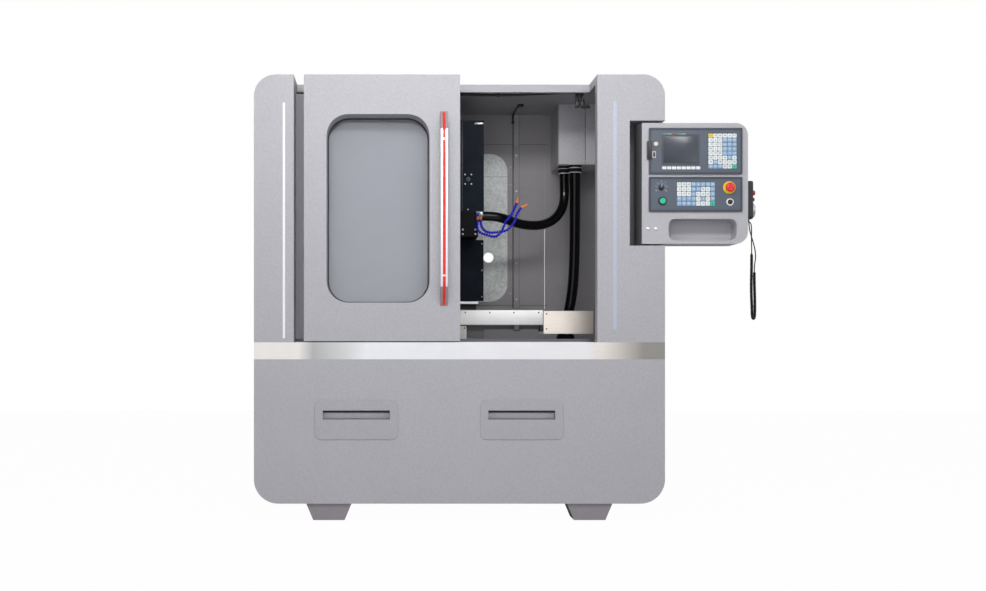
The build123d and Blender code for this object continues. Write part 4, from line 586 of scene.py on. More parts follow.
# Column cover: navy enamelled sheet folded over the lower column, held by screws down both of its
# edges, with a bright wiper bar under it.
def satin_enamel(name, colour, roughness):
    """Satin enamel with a light orange-peel skin."""
    material, tree, shader = new_material(name)
    dust = add_range(tree, add_noise(tree, 12, 7), 0.45, 0.85)
    peel = add_bump(tree, add_noise(tree, 150), 0.15, 0.0005)
    set_inputs(tree, shader, {"Base Color": add_blend(tree, dust, colour, [c * 1.6 + 0.003 for c in colour]),
                              "Roughness": roughness, "Specular IOR Level": 0.09, "Normal": peel})
    return material


navy_enamel = satin_enamel("navy_enamel", (0.0042, 0.0080, 0.0145), 0.45)
finish_nodes(navy_enamel, "column_cover", "head_cover")
column_cover_face = 716
mesh = bmesh.new()
for x in (-144, 144):
    for z in (984, 1111, 1239):
        add_screw(mesh, at(x, column_cover_face, z), forward, 3.2)
make_piece("column_cover_screws", mesh, [screw_steel], "cabinet")


# Table: ground cast iron with a bright stainless face strip screwed along its front, a limit stop
# bracket under it, and the black coupling housing by the X motor.
finish_nodes(cast_iron("table_iron", (0.20, 0.198, 0.215), 0.55), "table")
strip_alloy = plain_finish("strip_alloy", (0.80, 0.80, 0.79), 0.5, metallic=0.5, scale=14, spread=0.12)
stop_grey = plain_finish("stop_grey", (0.10, 0.10, 0.108), 0.6)
strip_face, table_front = 348.6, 350.1
mesh = bmesh.new()
add_pad(mesh, (-397, 845.5), (397, 911.5), 1.5, strip_face, table_front, 0.5)
for x in (44.2, 155.8, 265.3, 378.4):
    for side in (-1, 1):
        add_screw(mesh, at(side * x, strip_face, 901), forward, 3.4, 1)
make_piece("table_face_strip", mesh, [strip_alloy, black_oxide], "table_slide")
mesh = bmesh.new()
add_pad(mesh, (263, 816.5), (291, 845), 1, 347.6, 349.4, 0.5)
add_pad(mesh, (266, 820), (288, 844.5), 1, 346.4, 348, 0.6, 1)
add_pad(mesh, (385, 815), (400.2, 842.6), 1.5, 353, 420, 0.8)
make_piece("limit_stop", mesh, [black_oxide, stop_grey], "table_slide")


# X motor cover: a warm-stained stainless box folded over the motor at the table's end, held by two
# screws beside the table and two in its end.
mesh = bmesh.new()
for z in (827, 895):
    add_screw(mesh, at(414, 350, z), forward, 3.4)
for depth in (380, 520):
    add_screw(mesh, at(627, depth, 880), sideways, 3.4)
make_piece("x_cover_screws", mesh, [black_oxide], "table_slide")


# Headstock and its cover: black enamelled spindle head under a tall navy box with a spring latch,
# a round lock with four screws, and button screws along its edges.
finish_nodes(satin_enamel("head_black", (0.0035, 0.004, 0.006), 0.45), "headstock")
latch_chrome = plain_finish("latch_chrome", (0.42, 0.43, 0.47), 0.3, metallic=0.9, spread=0.05)
cover_fold_highlight = plain_finish("cover_fold_highlight", (0.05, 0.075, 0.085), 0.3)
cover_face = 500
lock_x, lock_z = 66, 1525
mesh = bmesh.new()
add_pad(mesh, (97, 1783), (112, 1788), 1.5, 493.5, 497, 0.8)
for x in (95, -136):
    add_pad(mesh, (x, 1780), (x + 41, 1788.5), 2.5, 496.5, 500.2, 1.0)
for side in (-1, 1):
    add_turned(mesh, at(side * lock_x, cover_face, lock_z), forward,
               ((11, -0.4), (11, 2.5), (9, 4), (9, 7.5), (7.5, 9), (0, 9)), 28, 2)
    for dx in (-14.6, 14.6):
        for dz in (-22, 22):
            add_screw(mesh, at(side * lock_x + dx, cover_face, lock_z + dz), forward, 3.6, 1)
    add_screw(mesh, at(side * 65, cover_face, 1384), forward, 3, 1)
    for depth in (540, 660):
        for z in (1400, 1780):
            add_screw(mesh, at(side * 139, depth, z), (side, 0, 0), 3, 1)
    for x in (41, 100):
        for z in (1270, 1291):
            add_turned(mesh, at(side * x, 505, z), forward,
                       ((4.6, -0.4), (4.6, 3.4), (4.0, 4), (2.8, 4), (2.8, 1.6), (0, 1.6)), 18)
# Two thin lighter strips down the cover's left fold: painted highlight where the fold catches the light.
for x in (30.5, 38.5):
    add_pad(mesh, (x, 1377), (x + 2.2, 1796), 0.8, 499.3, 500.2, 0.4, 2)
make_piece("head_fittings", mesh, [latch_chrome, screw_steel, cover_fold_highlight], "head")


# Coolant valves: an aluminium block with two little turned bodies, each with a cross-shaped handle
# of orange plastic, and a blue union on top for the supply.
valve_silver = plain_finish("valve_silver", (0.52, 0.53, 0.54), 0.3, metallic=1.0)
blue_links = plain_finish("blue_links", (0.018, 0.018, 0.60), 0.3)
orange_plastic = plain_finish("orange_plastic", (1.0, 0.25, 0.05), 0.32)
finish_nodes(plain_finish("block_alloy", (0.20, 0.205, 0.22), 0.5, metallic=0.8), "valve_block")
tap_z = 1341.5
for body, x in (("tap_a", 110), ("tap_b", 124)):
    mesh = bmesh.new()
    add_turned(mesh, at(x, 487, tap_z), forward,
               ((2.9, -5), (2.9, 0.8), (3.8, 1.4), (3.8, 5.6), (2.6, 6), (0, 6)), 16)
    for wide, tall in ((6.4, 3.2), (3.2, 6.8)):
        add_pad(mesh, (x - wide, tap_z - tall), (x + wide, tap_z + tall), 2.2, 480.5, 485.9, 1.0)
    tap = make_piece(body + "_handle", mesh, [orange_plastic], body)
    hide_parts("valve_" + body)
mesh = bmesh.new()
add_turned(mesh, at(110, 480.5, 1351), upward,
           ((4, 0), (5.8, 1.2), (6.6, 4), (6.6, 8.5), (5, 12), (4, 13.5), (0, 13.5)), 18)
add_pad(mesh, (119.5, 1357), (131, 1370), 2.5, 483, 488, 1.4, 1)
make_piece("valve_union", mesh, [blue_links, valve_silver], "head")


# Beaded coolant hoses: snap-together ball-and-socket links of blue plastic, each ending in an
# orange nozzle, which hold whatever curve they are bent to.
def even_steps(places, step):
    """Places at an even step along a polyline, with the heading at each."""
    lengths = [0.0]
    for here, there in zip(places, places[1:]):
        lengths.append(lengths[-1] + (there - here).length)
    count = max(2, round(lengths[-1] / step))
    result, index = [], 0
    for number in range(count + 1):
        wanted = lengths[-1] * number / count
        while index < len(lengths) - 2 and lengths[index + 1] < wanted:
            index += 1
        share = (wanted - lengths[index]) / max(1e-9, lengths[index + 1] - lengths[index])
        here, there = places[index], places[index + 1]
        result.append((here.lerp(there, share), (there - here).normalized()))
    return result


link_length = 0.0118
hoses = {
    "coolant_hose_a": ((110, 496, 1333), (
        (0, 0, 0), (0, 0, -12), (-3, -6, -33), (0, -10, -49), (17, -16, -62), (50, -24, -72),
        (74.5, -30, -80), (91, -34, -74), (105.5, -37, -59), (116, -40, -39), (124, -42, -14),
        (140.5, -44, 7), (157, -46, 28), (167.5, -47, 53), (178, -48, 76)), (185, -49, 103)),
    "coolant_hose_b": ((124, 496, 1333), (
        (0, 0, 0), (0, 0, -12), (3, -8, -31), (19, -18, -52), (40, -36, -61), (73, -47, -59),
        (100.5, -56, -57), (120, -66, -49), (140, -74, -29), (153, -80, -8.5), (158, -84, 16),
        (169, -88, 36), (181, -91, 51)), (210.5, -94, 66)),
}
for name, (start, offsets, tip) in hoses.items():
    route = [at(*start) + Vector(offset) / 1000 for offset in offsets]
    places = [place for place, heading in even_steps(route, link_length)]
    mesh = bmesh.new()
    for here, there in zip(places, places[1:]):
        pitch = (there - here).length * 1000
        add_turned(mesh, here, there - here,
                   ((0, -0.6), (3.2, -0.4), (3.6, 0.6), (3.7, 1.8), (5.6, 2.2), (6.9, 3.6), (7.3, 5.4),
                    (6.9, 7.2), (5.6, 8.8), (4.4, 10.0), (3.8, 10.4), (3.4, pitch), (0, pitch + 0.3)), 14)
    nozzle = at(*start) + Vector(tip) / 1000 - route[-1]
    reach = nozzle.length * 1000
    add_turned(mesh, route[-1], nozzle,
               ((0, 0), (6.1, 0.4), (6.2, 4), (5.6, 6.5), (4.9, 8), (4.4, 0.55 * reach), (3.3, reach),
                (2.2, reach), (2.0, reach - 3), (0, reach - 3)), 18, 1)
    hose = make_piece(name + "_links", mesh, [blue_links, orange_plastic], "head", 40)
    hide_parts(name)


# Conduits: fat black plastic hose, smooth and glossy, one from the box to the head and one to
# the floor. The upper one bends as the head travels.
def route_curve(name, points, radius):
    """Open NURBS tube whose control points are a route's corners."""
    data = bpy.data.curves.new(name, "CURVE")
    data.dimensions = "3D"
    spline = data.splines.new("NURBS")
    spline.points.add(len(points) - 1)
    for point, place in zip(spline.points, points):
        point.co = (*place, 1)
    spline.order_u = 3
    spline.use_endpoint_u = True
    spline.resolution_u = 12
    data.bevel_depth = radius
    data.bevel_resolution = 6
    data.use_fill_caps = radius > 0
    piece = bpy.data.objects.new(name, data)
    scene.collection.objects.link(piece)
    return piece


def read_route(points):
    """Places along the smooth line of a route, read from its curve with no bevel."""
    carrier = route_curve("route_reader", points, 0)
    bpy.context.view_layer.update()
    line = bpy.data.meshes.new_from_object(carrier.evaluated_get(bpy.context.evaluated_depsgraph_get()))
    places = [vertex.co.copy() for vertex in line.vertices]
    bpy.data.objects.remove(carrier)
    bpy.data.meshes.remove(line)
    return places


def untwisted(steps):
    """Each step's place with two directions square to its heading, carried along without twisting."""
    side = steps[0][1].orthogonal()
    for place, heading in steps:
        side = (side - heading * side.dot(heading)).normalized()
        yield place, side, heading.cross(side)


def conduit_hose(name, points, radius):
    """Hose with the faintest of ribs across it, swept along a route."""
    sides, pitch, depth = 20, 0.02, 0.0002
    verts = []
    for number, (place, side, across) in enumerate(untwisted(even_steps(read_route(points), pitch / 4))):
        reach = radius - depth * (0.0, 0.35, 1.0, 0.35)[number % 4]
        verts += [place + spoke(side, across, 2 * math.pi * turn / sides) * reach for turn in range(sides)]
    faces = [(ring + turn, ring + (turn + 1) % sides, ring + (turn + 1) % sides + sides, ring + turn + sides)
             for ring in range(0, len(verts) - sides, sides) for turn in range(sides)]
    faces += [tuple(range(sides))[::-1], tuple(range(len(verts) - sides, len(verts)))]
    piece = mesh_piece(name, verts, faces, hose_black)
    piece.data.polygons.foreach_set("use_smooth", [True] * len(faces))
    return piece


def places_of(route):
    """Route in metres, from (X, depth behind the cabinet's front, Z) in millimetres."""
    return [at(*point) for point in route]


hose_black, tree, shader = new_material("hose_black")
scuffs = add_range(tree, add_noise(tree, 38, 5), 0.35, 0.75, 0.12, 0.24)
set_inputs(tree, shader, {"Base Color": (0.004, 0.004, 0.005), "Specular IOR Level": 0.3,
                          "Roughness": scuffs})

upper_radius, lower_radius = 0.0225, 0.0255
upper_exit, lower_exit = (552, 815), (600, 775)
upper_route = places_of((
    (*upper_exit, 1605), (*upper_exit, 1540), (554, 813, 1480), (547, 802, 1432), (525, 783, 1388),
    (488, 759, 1352), (442, 733, 1332), (392, 708, 1325), (340, 672, 1327), (293, 640, 1336),
    (243, 613, 1351), (188, 598, 1362), (115, 598, 1362),
))
conduit = conduit_hose("conduit_upper_hose", upper_route, upper_radius)
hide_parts("conduit_upper")
tuple(upper_route[0])
[tuple(p) for p in read_route(upper_route)]
tuple(upper_route[1])
tuple(upper_route[-2])
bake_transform(conduit)

lower_route = places_of((
    (*lower_exit, 1605), (*lower_exit, 1450), (599, 775, 1300), (597, 776, 1150), (590, 780, 1020),
    (572, 792, 910), (557, 800, 842), (557, 800, 776),
))
conduit = conduit_hose("conduit_lower_hose", lower_route, lower_radius)
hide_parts("conduit_lower")
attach(conduit, "cabinet")
tuple(lower_route[0])
[tuple(p) for p in read_route(lower_route)]


# Header cable: a black cable under the roof edge, held by clips, which ends on a black plate with
# two plugs and a slanted strap.
cable_black = plain_finish("cable_black", (0.012, 0.012, 0.013), 0.42, scale=90)
under_roof = 1915.4
cable_depth = 300
header_route = [at(x, cable_depth, z) for x, z in (
    (-648, 1893), (-560, 1890), (-430, 1885), (-300, 1886), (-180, 1890), (-60, 1889), (60, 1883),
    (190, 1881), (310, 1884), (420, 1889), (505, 1893), (540, 1893),
)]
header_cable = route_curve("header_cable_run", header_route, 0.0055)
header_cable.data.materials.append(cable_black)
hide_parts("header_cable")
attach(header_cable, "cabinet")
tuple(header_route[0])

mesh = bmesh.new()
for x, z in ((-560, 1890), (-180, 1890), (190, 1881)):
    add_pad(mesh, (x - 7, z - 7), (x + 7, z + 7), 3, cable_depth - 8, cable_depth + 8, 1.0)
    add_pad(mesh, (x - 5, z + 6), (x + 5, under_roof), 1, cable_depth - 4, cable_depth + 4, 0.8)
add_pad(mesh, (538, 1838), (576, under_roof), 1.5, cable_depth - 3, cable_depth + 3, 0.6, 1)
for x in (546, 570):
    add_pad(mesh, (x - 10, 1824), (x + 10, 1848), 3, 284, 302, 1.6)
    add_turned(mesh, at(x, 293, 1847.5), upward,
               ((8.6, 0), (8.6, 7), (7, 9), (7, 15), (5, 17), (5, 24), (0, 24)), 18)
add_rings(mesh, [[at(x + dx, 290 + dy, z) for dx, dy in ((-4.5, -4), (4.5, -4), (4.5, 4), (-4.5, 4))]
                 for x, z in ((562, 1893), (572, 1870), (586, 1846), (596, 1828))])
add_pad(mesh, (566, 1821), (604, 1831), 3, 284, 298, 1.6)
for z in (1878, 1909):
    add_screw(mesh, at(557, cable_depth - 3, z), forward, 2.6, 2)
for x in (-560, -180):
    add_screw(mesh, at(x, cable_depth - 4, 1909), forward, 2.4, 2)
make_piece("header_plug_and_clips", mesh, [cable_black, black_oxide, screw_steel], "cabinet")


# Junction box: coated sheet box hung from the roof, with a screwed front lid, ribbed gland nuts where
# the conduits leave, and the rubber boot that takes the lower conduit through the floor.
box_face = 740.2
mesh = bmesh.new()
add_pad(mesh, (518.5, 1626.5), (643.6, 1912), 2, box_face - 2, box_face, 0.8)
add_pad(mesh, (646.4, 1626.5), (777.5, 1912), 2, box_face - 1.6, box_face, 0.8)
add_pad(mesh, (642, 1627), (648, 1911), 1, box_face - 0.8, box_face, 0.2, 2)
for z in (1640, 1791, 1878):
    add_screw(mesh, at(645, box_face - 1.2, z), forward, 4.2, 1)
    add_screw(mesh, at(769, box_face - 1.6, z), forward, 3, 1)
# The lid wears the lighter copy of the grey coat, as painted light.
make_piece("junction_lid", mesh, [box_painted_light_coat, screw_steel, dark_seam], "cabinet")

gland_black = satin_enamel("gland_black", (0.004, 0.004, 0.005), 0.35)
mesh = bmesh.new()
for (x, depth), bore in ((upper_exit, upper_radius * 1000), (lower_exit, lower_radius * 1000)):
    grip = bore + 6.8
    add_turned(mesh, at(x, depth, 1623.6), (0, 0, -1),
               ((grip - 2, 0), (grip, 1), (grip, 11), (grip - 1, 12), (grip - 1, 14)), 36)
    add_turned(mesh, at(x, depth, 1609), (0, 0, -1),
               ((grip - 1, 0), (grip + 0.4, 1), (grip + 0.4, 18), (grip - 1.5, 22), (bore + 0.5, 23.5),
                (bore + 0.2, 22.5)), 72, 0, 24, 0.045)
make_piece("conduit_glands", mesh, [gland_black], "cabinet")
mesh = bmesh.new()
add_turned(mesh, at(112, 598, 1362), sideways,
           ((28.3, 0.2), (28.6, 1.5), (28.6, 6), (27, 7), (28.9, 8), (28.9, 15), (27.2, 18.5), (23.4, 19.6),
            (22.9, 18.5)), 72, 0, 24, 0.03)
make_piece("head_gland_nut", mesh, [gland_black], "head")

mesh = bmesh.new()
add_turned(mesh, at(557, 800, 766), upward,
           ((29.5, -22), (29.5, 0), (52, 0.1), (52, 4), (50.5, 5.2), (45.5, 6.5), (48, 12), (48.2, 15),
            (42.5, 18.5), (44.5, 23), (44.4, 26), (38.8, 29), (40, 33), (39.8, 36), (34.6, 39), (33.8, 43.6),
            (26.2, 43.9), (25.9, 43), (25.9, -22)), 48)
boot_rubber = satin_enamel("boot_rubber", (0.008, 0.008, 0.009), 0.4)
boot = make_piece("bellows_boot", mesh, [boot_rubber], "cabinet", 50)
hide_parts("floor_boot")


# Control pod: a coated sheet box on two pivots, with a bulged left cheek and a hand pocket; two
# chrome dome locks sit beside the pocket.
pod_paint = (0.45, 0.445, 0.475)
pod_coat = coated("pod_coat", pod_paint, 0.4, 0.06)
tree = pod_coat.node_tree
coordinates = add_node(tree, "TexCoord")
facing = add_node(tree, "SeparateXYZ", {"Vector": coordinates["Normal"]})["X"]
across_pod = add_node(tree, "SeparateXYZ", {"Vector": coordinates["Generated"]})["X"]
# Painted shade: faces turned left on the pod's hinge side are darkened nearly to black, for the shadow in the
# gap by the pillar.
hinge_shade_mask = add_math(tree, "MULTIPLY", add_range(tree, facing, -0.12, -0.45),
                      add_math(tree, "LESS_THAN", across_pod, 0.15))
hinge_painted_shade = add_blend(tree, hinge_shade_mask, pod_paint, (0.075, 0.072, 0.075))
set_inputs(tree, tree.nodes["Group"], {"Paint": hinge_painted_shade})
finish_nodes(pod_coat, "pod_shell")
dome_chrome = plain_finish("dome_chrome", (0.9, 0.9, 0.9), 0.14, metallic=1.0, spread=0.04)
pod_face = -8
mesh = bmesh.new()
for x in (809, 843):
    add_turned(mesh, at(x, pod_face, 1253.5), forward,
               ((8.6, -0.4), (8.6, 1.2), (7.4, 2), (6.6, 4.2), (4.6, 5.8), (2.2, 6.5), (0, 6.6)), 28)
make_piece("dome_locks", mesh, [dome_chrome], "pod", 50)
mesh = bmesh.new()
add_rim(mesh, (898, 1205), (1190, 1296), 28,
        ((-0.2, -6), (-0.2, -8.6), (0.9, -9.3), (2.2, -8.8), (2.6, -7.6)), steps=10)
make_piece("pocket_rim", mesh, [grey_coat], "pod")


# Display unit: slate panel in a raised bezel with a dark liquid-crystal screen, soft keys under it, a
# data port on the left and a block of letter and number keys on the right.
def cap_plastic(name, colour):
    """Moulded key cap with a faint gloss coat."""
    return plain_finish(name, colour, 0.32, coat=0.15, scale=300)


bezel_slate = plain_finish("bezel_slate", (0.045, 0.055, 0.075), 0.36, scale=300)
black_plastic = plain_finish("black_plastic", (0.016, 0.016, 0.018), 0.38, scale=300)
legend_ink = plain_finish("legend_ink", (0.02, 0.025, 0.035), 0.5, scale=300)
white_cap = cap_plastic("white_cap", (0.80, 0.83, 0.83))
cap_finishes = [cap_plastic("yellow_cap", (0.86, 0.62, 0.08)), white_cap,
                cap_plastic("blue_cap", (0.27, 0.43, 0.62)), cap_plastic("teal_cap", (0.03, 0.56, 0.35)),
                legend_ink]
slate_film = plain_finish("slate_film", (0.088, 0.108, 0.142), 0.42, scale=300)
finish_nodes(slate_film, "display_unit", "operator_unit")
screen_glass, tree, shader = new_material("screen_glass")
backing = add_blend(tree, add_noise(tree, 10), (0.022, 0.028, 0.040), (0.050, 0.060, 0.082))
set_inputs(tree, shader, {"Base Color": backing, "Roughness": 0.24,
                          "Coat Weight": 0.3, "Coat Roughness": 0.2})

unit_left, unit_right = 812, 1213
unit_face = -14
bezel_width = 9
mesh = bmesh.new()
for bottom, top in ((1487, 1686), (1326, 1476)):
    add_rim(mesh, (unit_left + bezel_width, bottom + bezel_width),
            (unit_right - bezel_width, top - bezel_width), 2.4,
            ((-0.3, -13.9), (-0.3, -15.6), (0.8, -16.4), (7.6, -16.4), (8.7, -15.6), (9.1, -14.2),
             (9.1, -8.1), (4, -8.1)), 0, 4)
    for x in (unit_left + bezel_width / 2, (unit_left + unit_right) / 2, unit_right - bezel_width / 2):
        for z in (bottom + bezel_width / 2, top - bezel_width / 2):
            add_screw(mesh, at(x, -16.3, z), forward, 2.5, 1, 1.6)
make_piece("unit_bezels", mesh, [bezel_slate, black_oxide], "pod")

mesh = bmesh.new()
add_pad(mesh, (871.4, 1533.4), (1025.6, 1652.6), 2, -13.7, -12, 0.5, 1)
add_pad(mesh, (876, 1538.5), (1021, 1648), 1.2, -13.95, -13.2, 0.2)
add_rim(mesh, (868.5, 1530.5), (1028.5, 1655.5), 4,
        ((0, -14), (0, -14.9), (1, -15.3), (2.2, -14.9), (2.4, -14)), 1, 4)
make_piece("screen", mesh, [screen_glass, bezel_slate], "pod")

digit_strokes = ("1110111", "0010010", "1011101", "1011011", "0111010",
                 "1101011", "1101111", "1010010", "1111111", "1111011")
ink_under, ink_over = 0.06, 0.1


def add_digit(mesh, number, x, z, size, depth, index):
    """Flat numeral made of up to seven strokes, about a middle point."""
    wide, tall, ink = size * 0.28, size * 0.5, size * 0.09
    places = ((0, tall), (-wide, tall / 2), (wide, tall / 2), (0, 0),
              (-wide, -tall / 2), (wide, -tall / 2), (0, -tall))
    for lit, (dx, dz) in zip(digit_strokes[number], places):
        half_x, half_z = (wide, ink) if dx == 0 else (ink, tall / 2)
        if lit == "1":
            add_pad(mesh, (x + dx - half_x, z + dz - half_z), (x + dx + half_x, z + dz + half_z), 0.15,
                    depth - ink_under, depth + ink_over, 0.03, index, 1)


def add_arrow(mesh, x, z, size, turn, depth, index):
    """Flat arrowhead on a key, pointing by quarter turns from up."""
    cos, sin = ((1, 0), (0, 1), (-1, 0))[turn]
    corners = [(dx * cos - dz * sin, dx * sin + dz * cos)
               for dx, dz in ((-0.5, -0.35), (0.5, -0.35), (0, 0.5))]
    add_rings(mesh, [[at(x + dx * size, level, z + dz * size) for dx, dz in corners]
                     for level in (depth - ink_under, depth + ink_over)], index)


def add_keys(mesh, left, right, bottom, top, gap, base, rows):
    """Key caps in rows from the top down, with two numerals or an arrow on each."""
    swell, lift = 0.35, 2.5
    pitch_x = (right - left + gap) / len(rows[0])
    pitch_z = (top - bottom + gap) / len(rows)
    half_x, half_z = (pitch_x - gap) / 2, (pitch_z - gap) / 2
    for row, colours in enumerate(rows):
        for column, colour in enumerate(colours):
            x = left + column * pitch_x + half_x
            z = top - (row + 1) * pitch_z + gap + half_z
            add_pad(mesh, (x - half_x - swell, z - half_z - swell), (x + half_x + swell, z + half_z + swell),
                    2.2, base - lift, base + 0.2, 0.9, "YWBG".index(colour), 2)
            ink = 1 if colour == "B" else 4
            kind = (row * 7 + column * 3) % 13
            if kind < 10:
                add_digit(mesh, kind, x - 2.6, z + 1.2, 5.4, base - lift, ink)
                add_digit(mesh, (kind * 3 + 1) % 10, x + 2.8, z + 1.2, 5.4, base - lift, ink)
            else:
                add_arrow(mesh, x, z, 6, kind - 10, base - lift, ink)


mesh = bmesh.new()
add_keys(mesh, 1068, 1188, 1512, 1661, 2.4, -12.5,
         ("YWWWWW", "WWWBBB", "WWWBBB", "WWWBBB", "WWWBBB", "WWWWBW", "WBWWWW", "BBBWWG"))
make_piece("letter_keys", mesh, cap_finishes, "pod")
mesh = bmesh.new()
add_keys(mesh, 933, 1094, 1352, 1452, 2.6, unit_face,
         ("WWWBBBBB", "WWWBBWWB", "WWWBWWWB", "BBBBWBWB", "BBBBWWWG"))
make_piece("mode_keys", mesh, cap_finishes, "pod")

mesh = bmesh.new()
for column in range(8):
    left = 869 + column * 20.75
    add_pad(mesh, (left - 0.2, 1507.8), (left + 17.95, 1520.2), 1.8, -16.5, -13.8, 0.8, 0, 2)
for column in range(5):
    left = 873 + column * 19.56
    add_pad(mesh, (left - 0.1, 1655.9), (left + 18.9, 1662.1), 0.8, -14.9, -13.8, 0.3, 1 + column % 3, 2)
lamp_finishes = [plain_finish(name, colour, 0.4) for name, colour in (
    ("lamp_green", (0.10, 0.32, 0.22)), ("lamp_grey", (0.30, 0.33, 0.38)), ("lamp_red", (0.42, 0.07, 0.06)))]
make_piece("soft_keys", mesh, [white_cap] + lamp_finishes, "pod")

cream_plastic = plain_finish("cream_plastic", (0.72, 0.68, 0.52), 0.4)
port_beige = plain_finish("port_beige", (0.52, 0.49, 0.43), 0.4)
mesh = bmesh.new()
add_pad(mesh, (803.8, 1550.8), (823.2, 1629.2), 3, -22.6, -10, 1.6)
add_turned(mesh, at(842, unit_face, 1617), forward,
           ((9.6, -0.2), (9.6, 2.4), (8.4, 3.2), (8.4, 6), (7, 7.2), (2, 7.4), (0, 6.9)), 28, 1)
add_pad(mesh, (825.7, 1556.7), (841.3, 1585.3), 2, -19.6, -13.8, 1.0, 2)
add_pad(mesh, (829.5, 1561), (837.5, 1581), 1, -19.9, -19.4, 0.2)
make_piece("data_port", mesh, [black_plastic, cream_plastic, port_beige], "pod")


# Operator unit: override knob, green start button in a black collar, red mushroom stop on a yellow
# ring, and a key switch with a chrome collar, each in its own hole.
stop_x, stop_z = 1157, 1430
knob_x, knob_z = 865, 1431
stop_place, knob_place = at(stop_x, unit_face, stop_z), at(knob_x, unit_face, knob_z)
key_x, key_z = 1160, 1368
key_place, start_place = at(key_x, unit_face, key_z), at(870, unit_face, 1372.5)
mesh = bmesh.new()
add_turned(mesh, stop_place, forward,
           ((27, -0.2), (27, 2.2), (26, 3.3), (13, 3.3), (11.4, 3.0), (10.9, 0)), 48)
add_turned(mesh, key_place, forward, ((16.4, -0.2), (16.4, 1.6), (14.6, 3.3), (11.2, 3.4), (10.6, 3)), 40, 1)
add_turned(mesh, start_place, forward, ((18, -0.2), (18, 4), (16.4, 7.4), (14.2, 7.6), (13.6, 7)), 40, 2)
for number in range(15):
    angle = math.radians(-140 + 20 * number)
    reach_x, reach_z = math.sin(angle), math.cos(angle)
    near, far = 16.5, 19.9 if number % 2 == 0 else 18.7
    add_rings(mesh, [[at(knob_x + reach_x * along + reach_z * across, level,
                         knob_z + reach_z * along - reach_x * across)
                      for along, across in ((far, -0.45), (far, 0.45), (near, 0.45), (near, -0.45))]
                     for level in (-14.12, -13.9)], 3)
for number, (dx, dz) in enumerate(((-21, -14), (-24, 4), (-17, 20), (0, 25), (17, 20), (24, 4), (21, -14))):
    add_digit(mesh, number, knob_x + dx * 1.02, knob_z + dz, 4.2, unit_face, 3)
stop_yellow = plain_finish("stop_yellow", (0.88, 0.60, 0.03), 0.35)
make_piece("control_collars", mesh, [stop_yellow, dome_chrome, black_plastic, white_cap], "pod")

mesh = bmesh.new()
add_turned(mesh, knob_place, forward,
           ((4, -20), (4, -0.4), (13, 0.4), (13, 1.2), (12.2, 2), (11.6, 10), (10.4, 13.4), (8, 14.0),
            (0, 14.2)), 60, 0, 20, 0.07)
add_pad(mesh, (knob_x - 1.1, 1432), (knob_x + 1.1, 1442.4), 0.8, -29, -27.4, 0.3, 1)
knob = make_piece("override_dial", mesh, [black_plastic, white_cap], "override")
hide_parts("override_knob")

mesh = bmesh.new()
add_turned(mesh, start_place, forward,
           ((6, -20), (6, 4), (13, 4.2), (13, 8.6), (12, 9.8), (10.8, 9.9), (10, 9.2), (0, 9.6)), 36)
start_green = plain_finish("start_green", (0.02, 0.50, 0.28), 0.25, coat=0.3)
button = make_piece("start_cap", mesh, [start_green], "start")
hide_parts("start_button")

mushroom_red = plain_finish("mushroom_red", (0.72, 0.015, 0.02), 0.24, coat=0.3)
mesh = bmesh.new()
add_turned(mesh, stop_place, forward,
           ((10, -20), (10, 14.4), (14, 14.2), (18.6, 14.8), (20, 16.6), (20, 20.5), (19, 23.4), (16.4, 25.4),
            (12, 26.5), (6, 26.9), (0, 27)), 48)
button = make_piece("stop_mushroom", mesh, [mushroom_red], "estop", 45)
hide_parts("estop_button")
mesh = bmesh.new()
for turn in range(3):
    lean = math.radians(120 * turn + 20)
    arrow = ((0, 8.2), (0.42, 8.0), (0.42, 6.6), (0.7, 9.4), (0.42, 12.2), (0.42, 10.6), (0, 10.6))
    add_rings(mesh, [[at(stop_x + reach * math.cos(lean + bearing), level,
                         stop_z + reach * math.sin(lean + bearing)) for bearing, reach in arrow]
                     for level in (-40.62, -40.2)])
make_piece("stop_arrows", mesh, [white_cap], "estop")

mesh = bmesh.new()
add_turned(mesh, key_place, forward, ((4, -20), (4, 2), (10, 3.6), (10, 8), (9, 9), (0, 9)), 32)
lean = math.radians(50)
rings = []
for level, inset in ((-30, 0.8), (-29.2, 0), (-22.8, 0)):
    lever = rounded_outline((inset - 9.5, inset - 3), (9.5 - inset, 3 - inset), 2.6 - inset, 4)
    rings.append([at(key_x + along * math.cos(lean) - across * math.sin(lean), level,
                     key_z + along * math.sin(lean) + across * math.cos(lean)) for along, across in lever])
add_rings(mesh, rings)
switch = make_piece("key_lever", mesh, [black_plastic], "key")
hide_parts("key_switch")


# Hand pendant: a black moulded body against the pod's side, with a silver hand wheel, a black selector
# and a red stop in a silver collar, all facing away from the pod.
pendant_face = 1271
pendant_middle = 71
wheel_z, selector_z, red_stop_z = 1339, 1387, 1416


def on_pendant(depth, height, z):
    """Place by depth behind the cabinet's front, height off the pendant's face as a minus, and Z."""
    return at(pendant_face - height, depth, z)


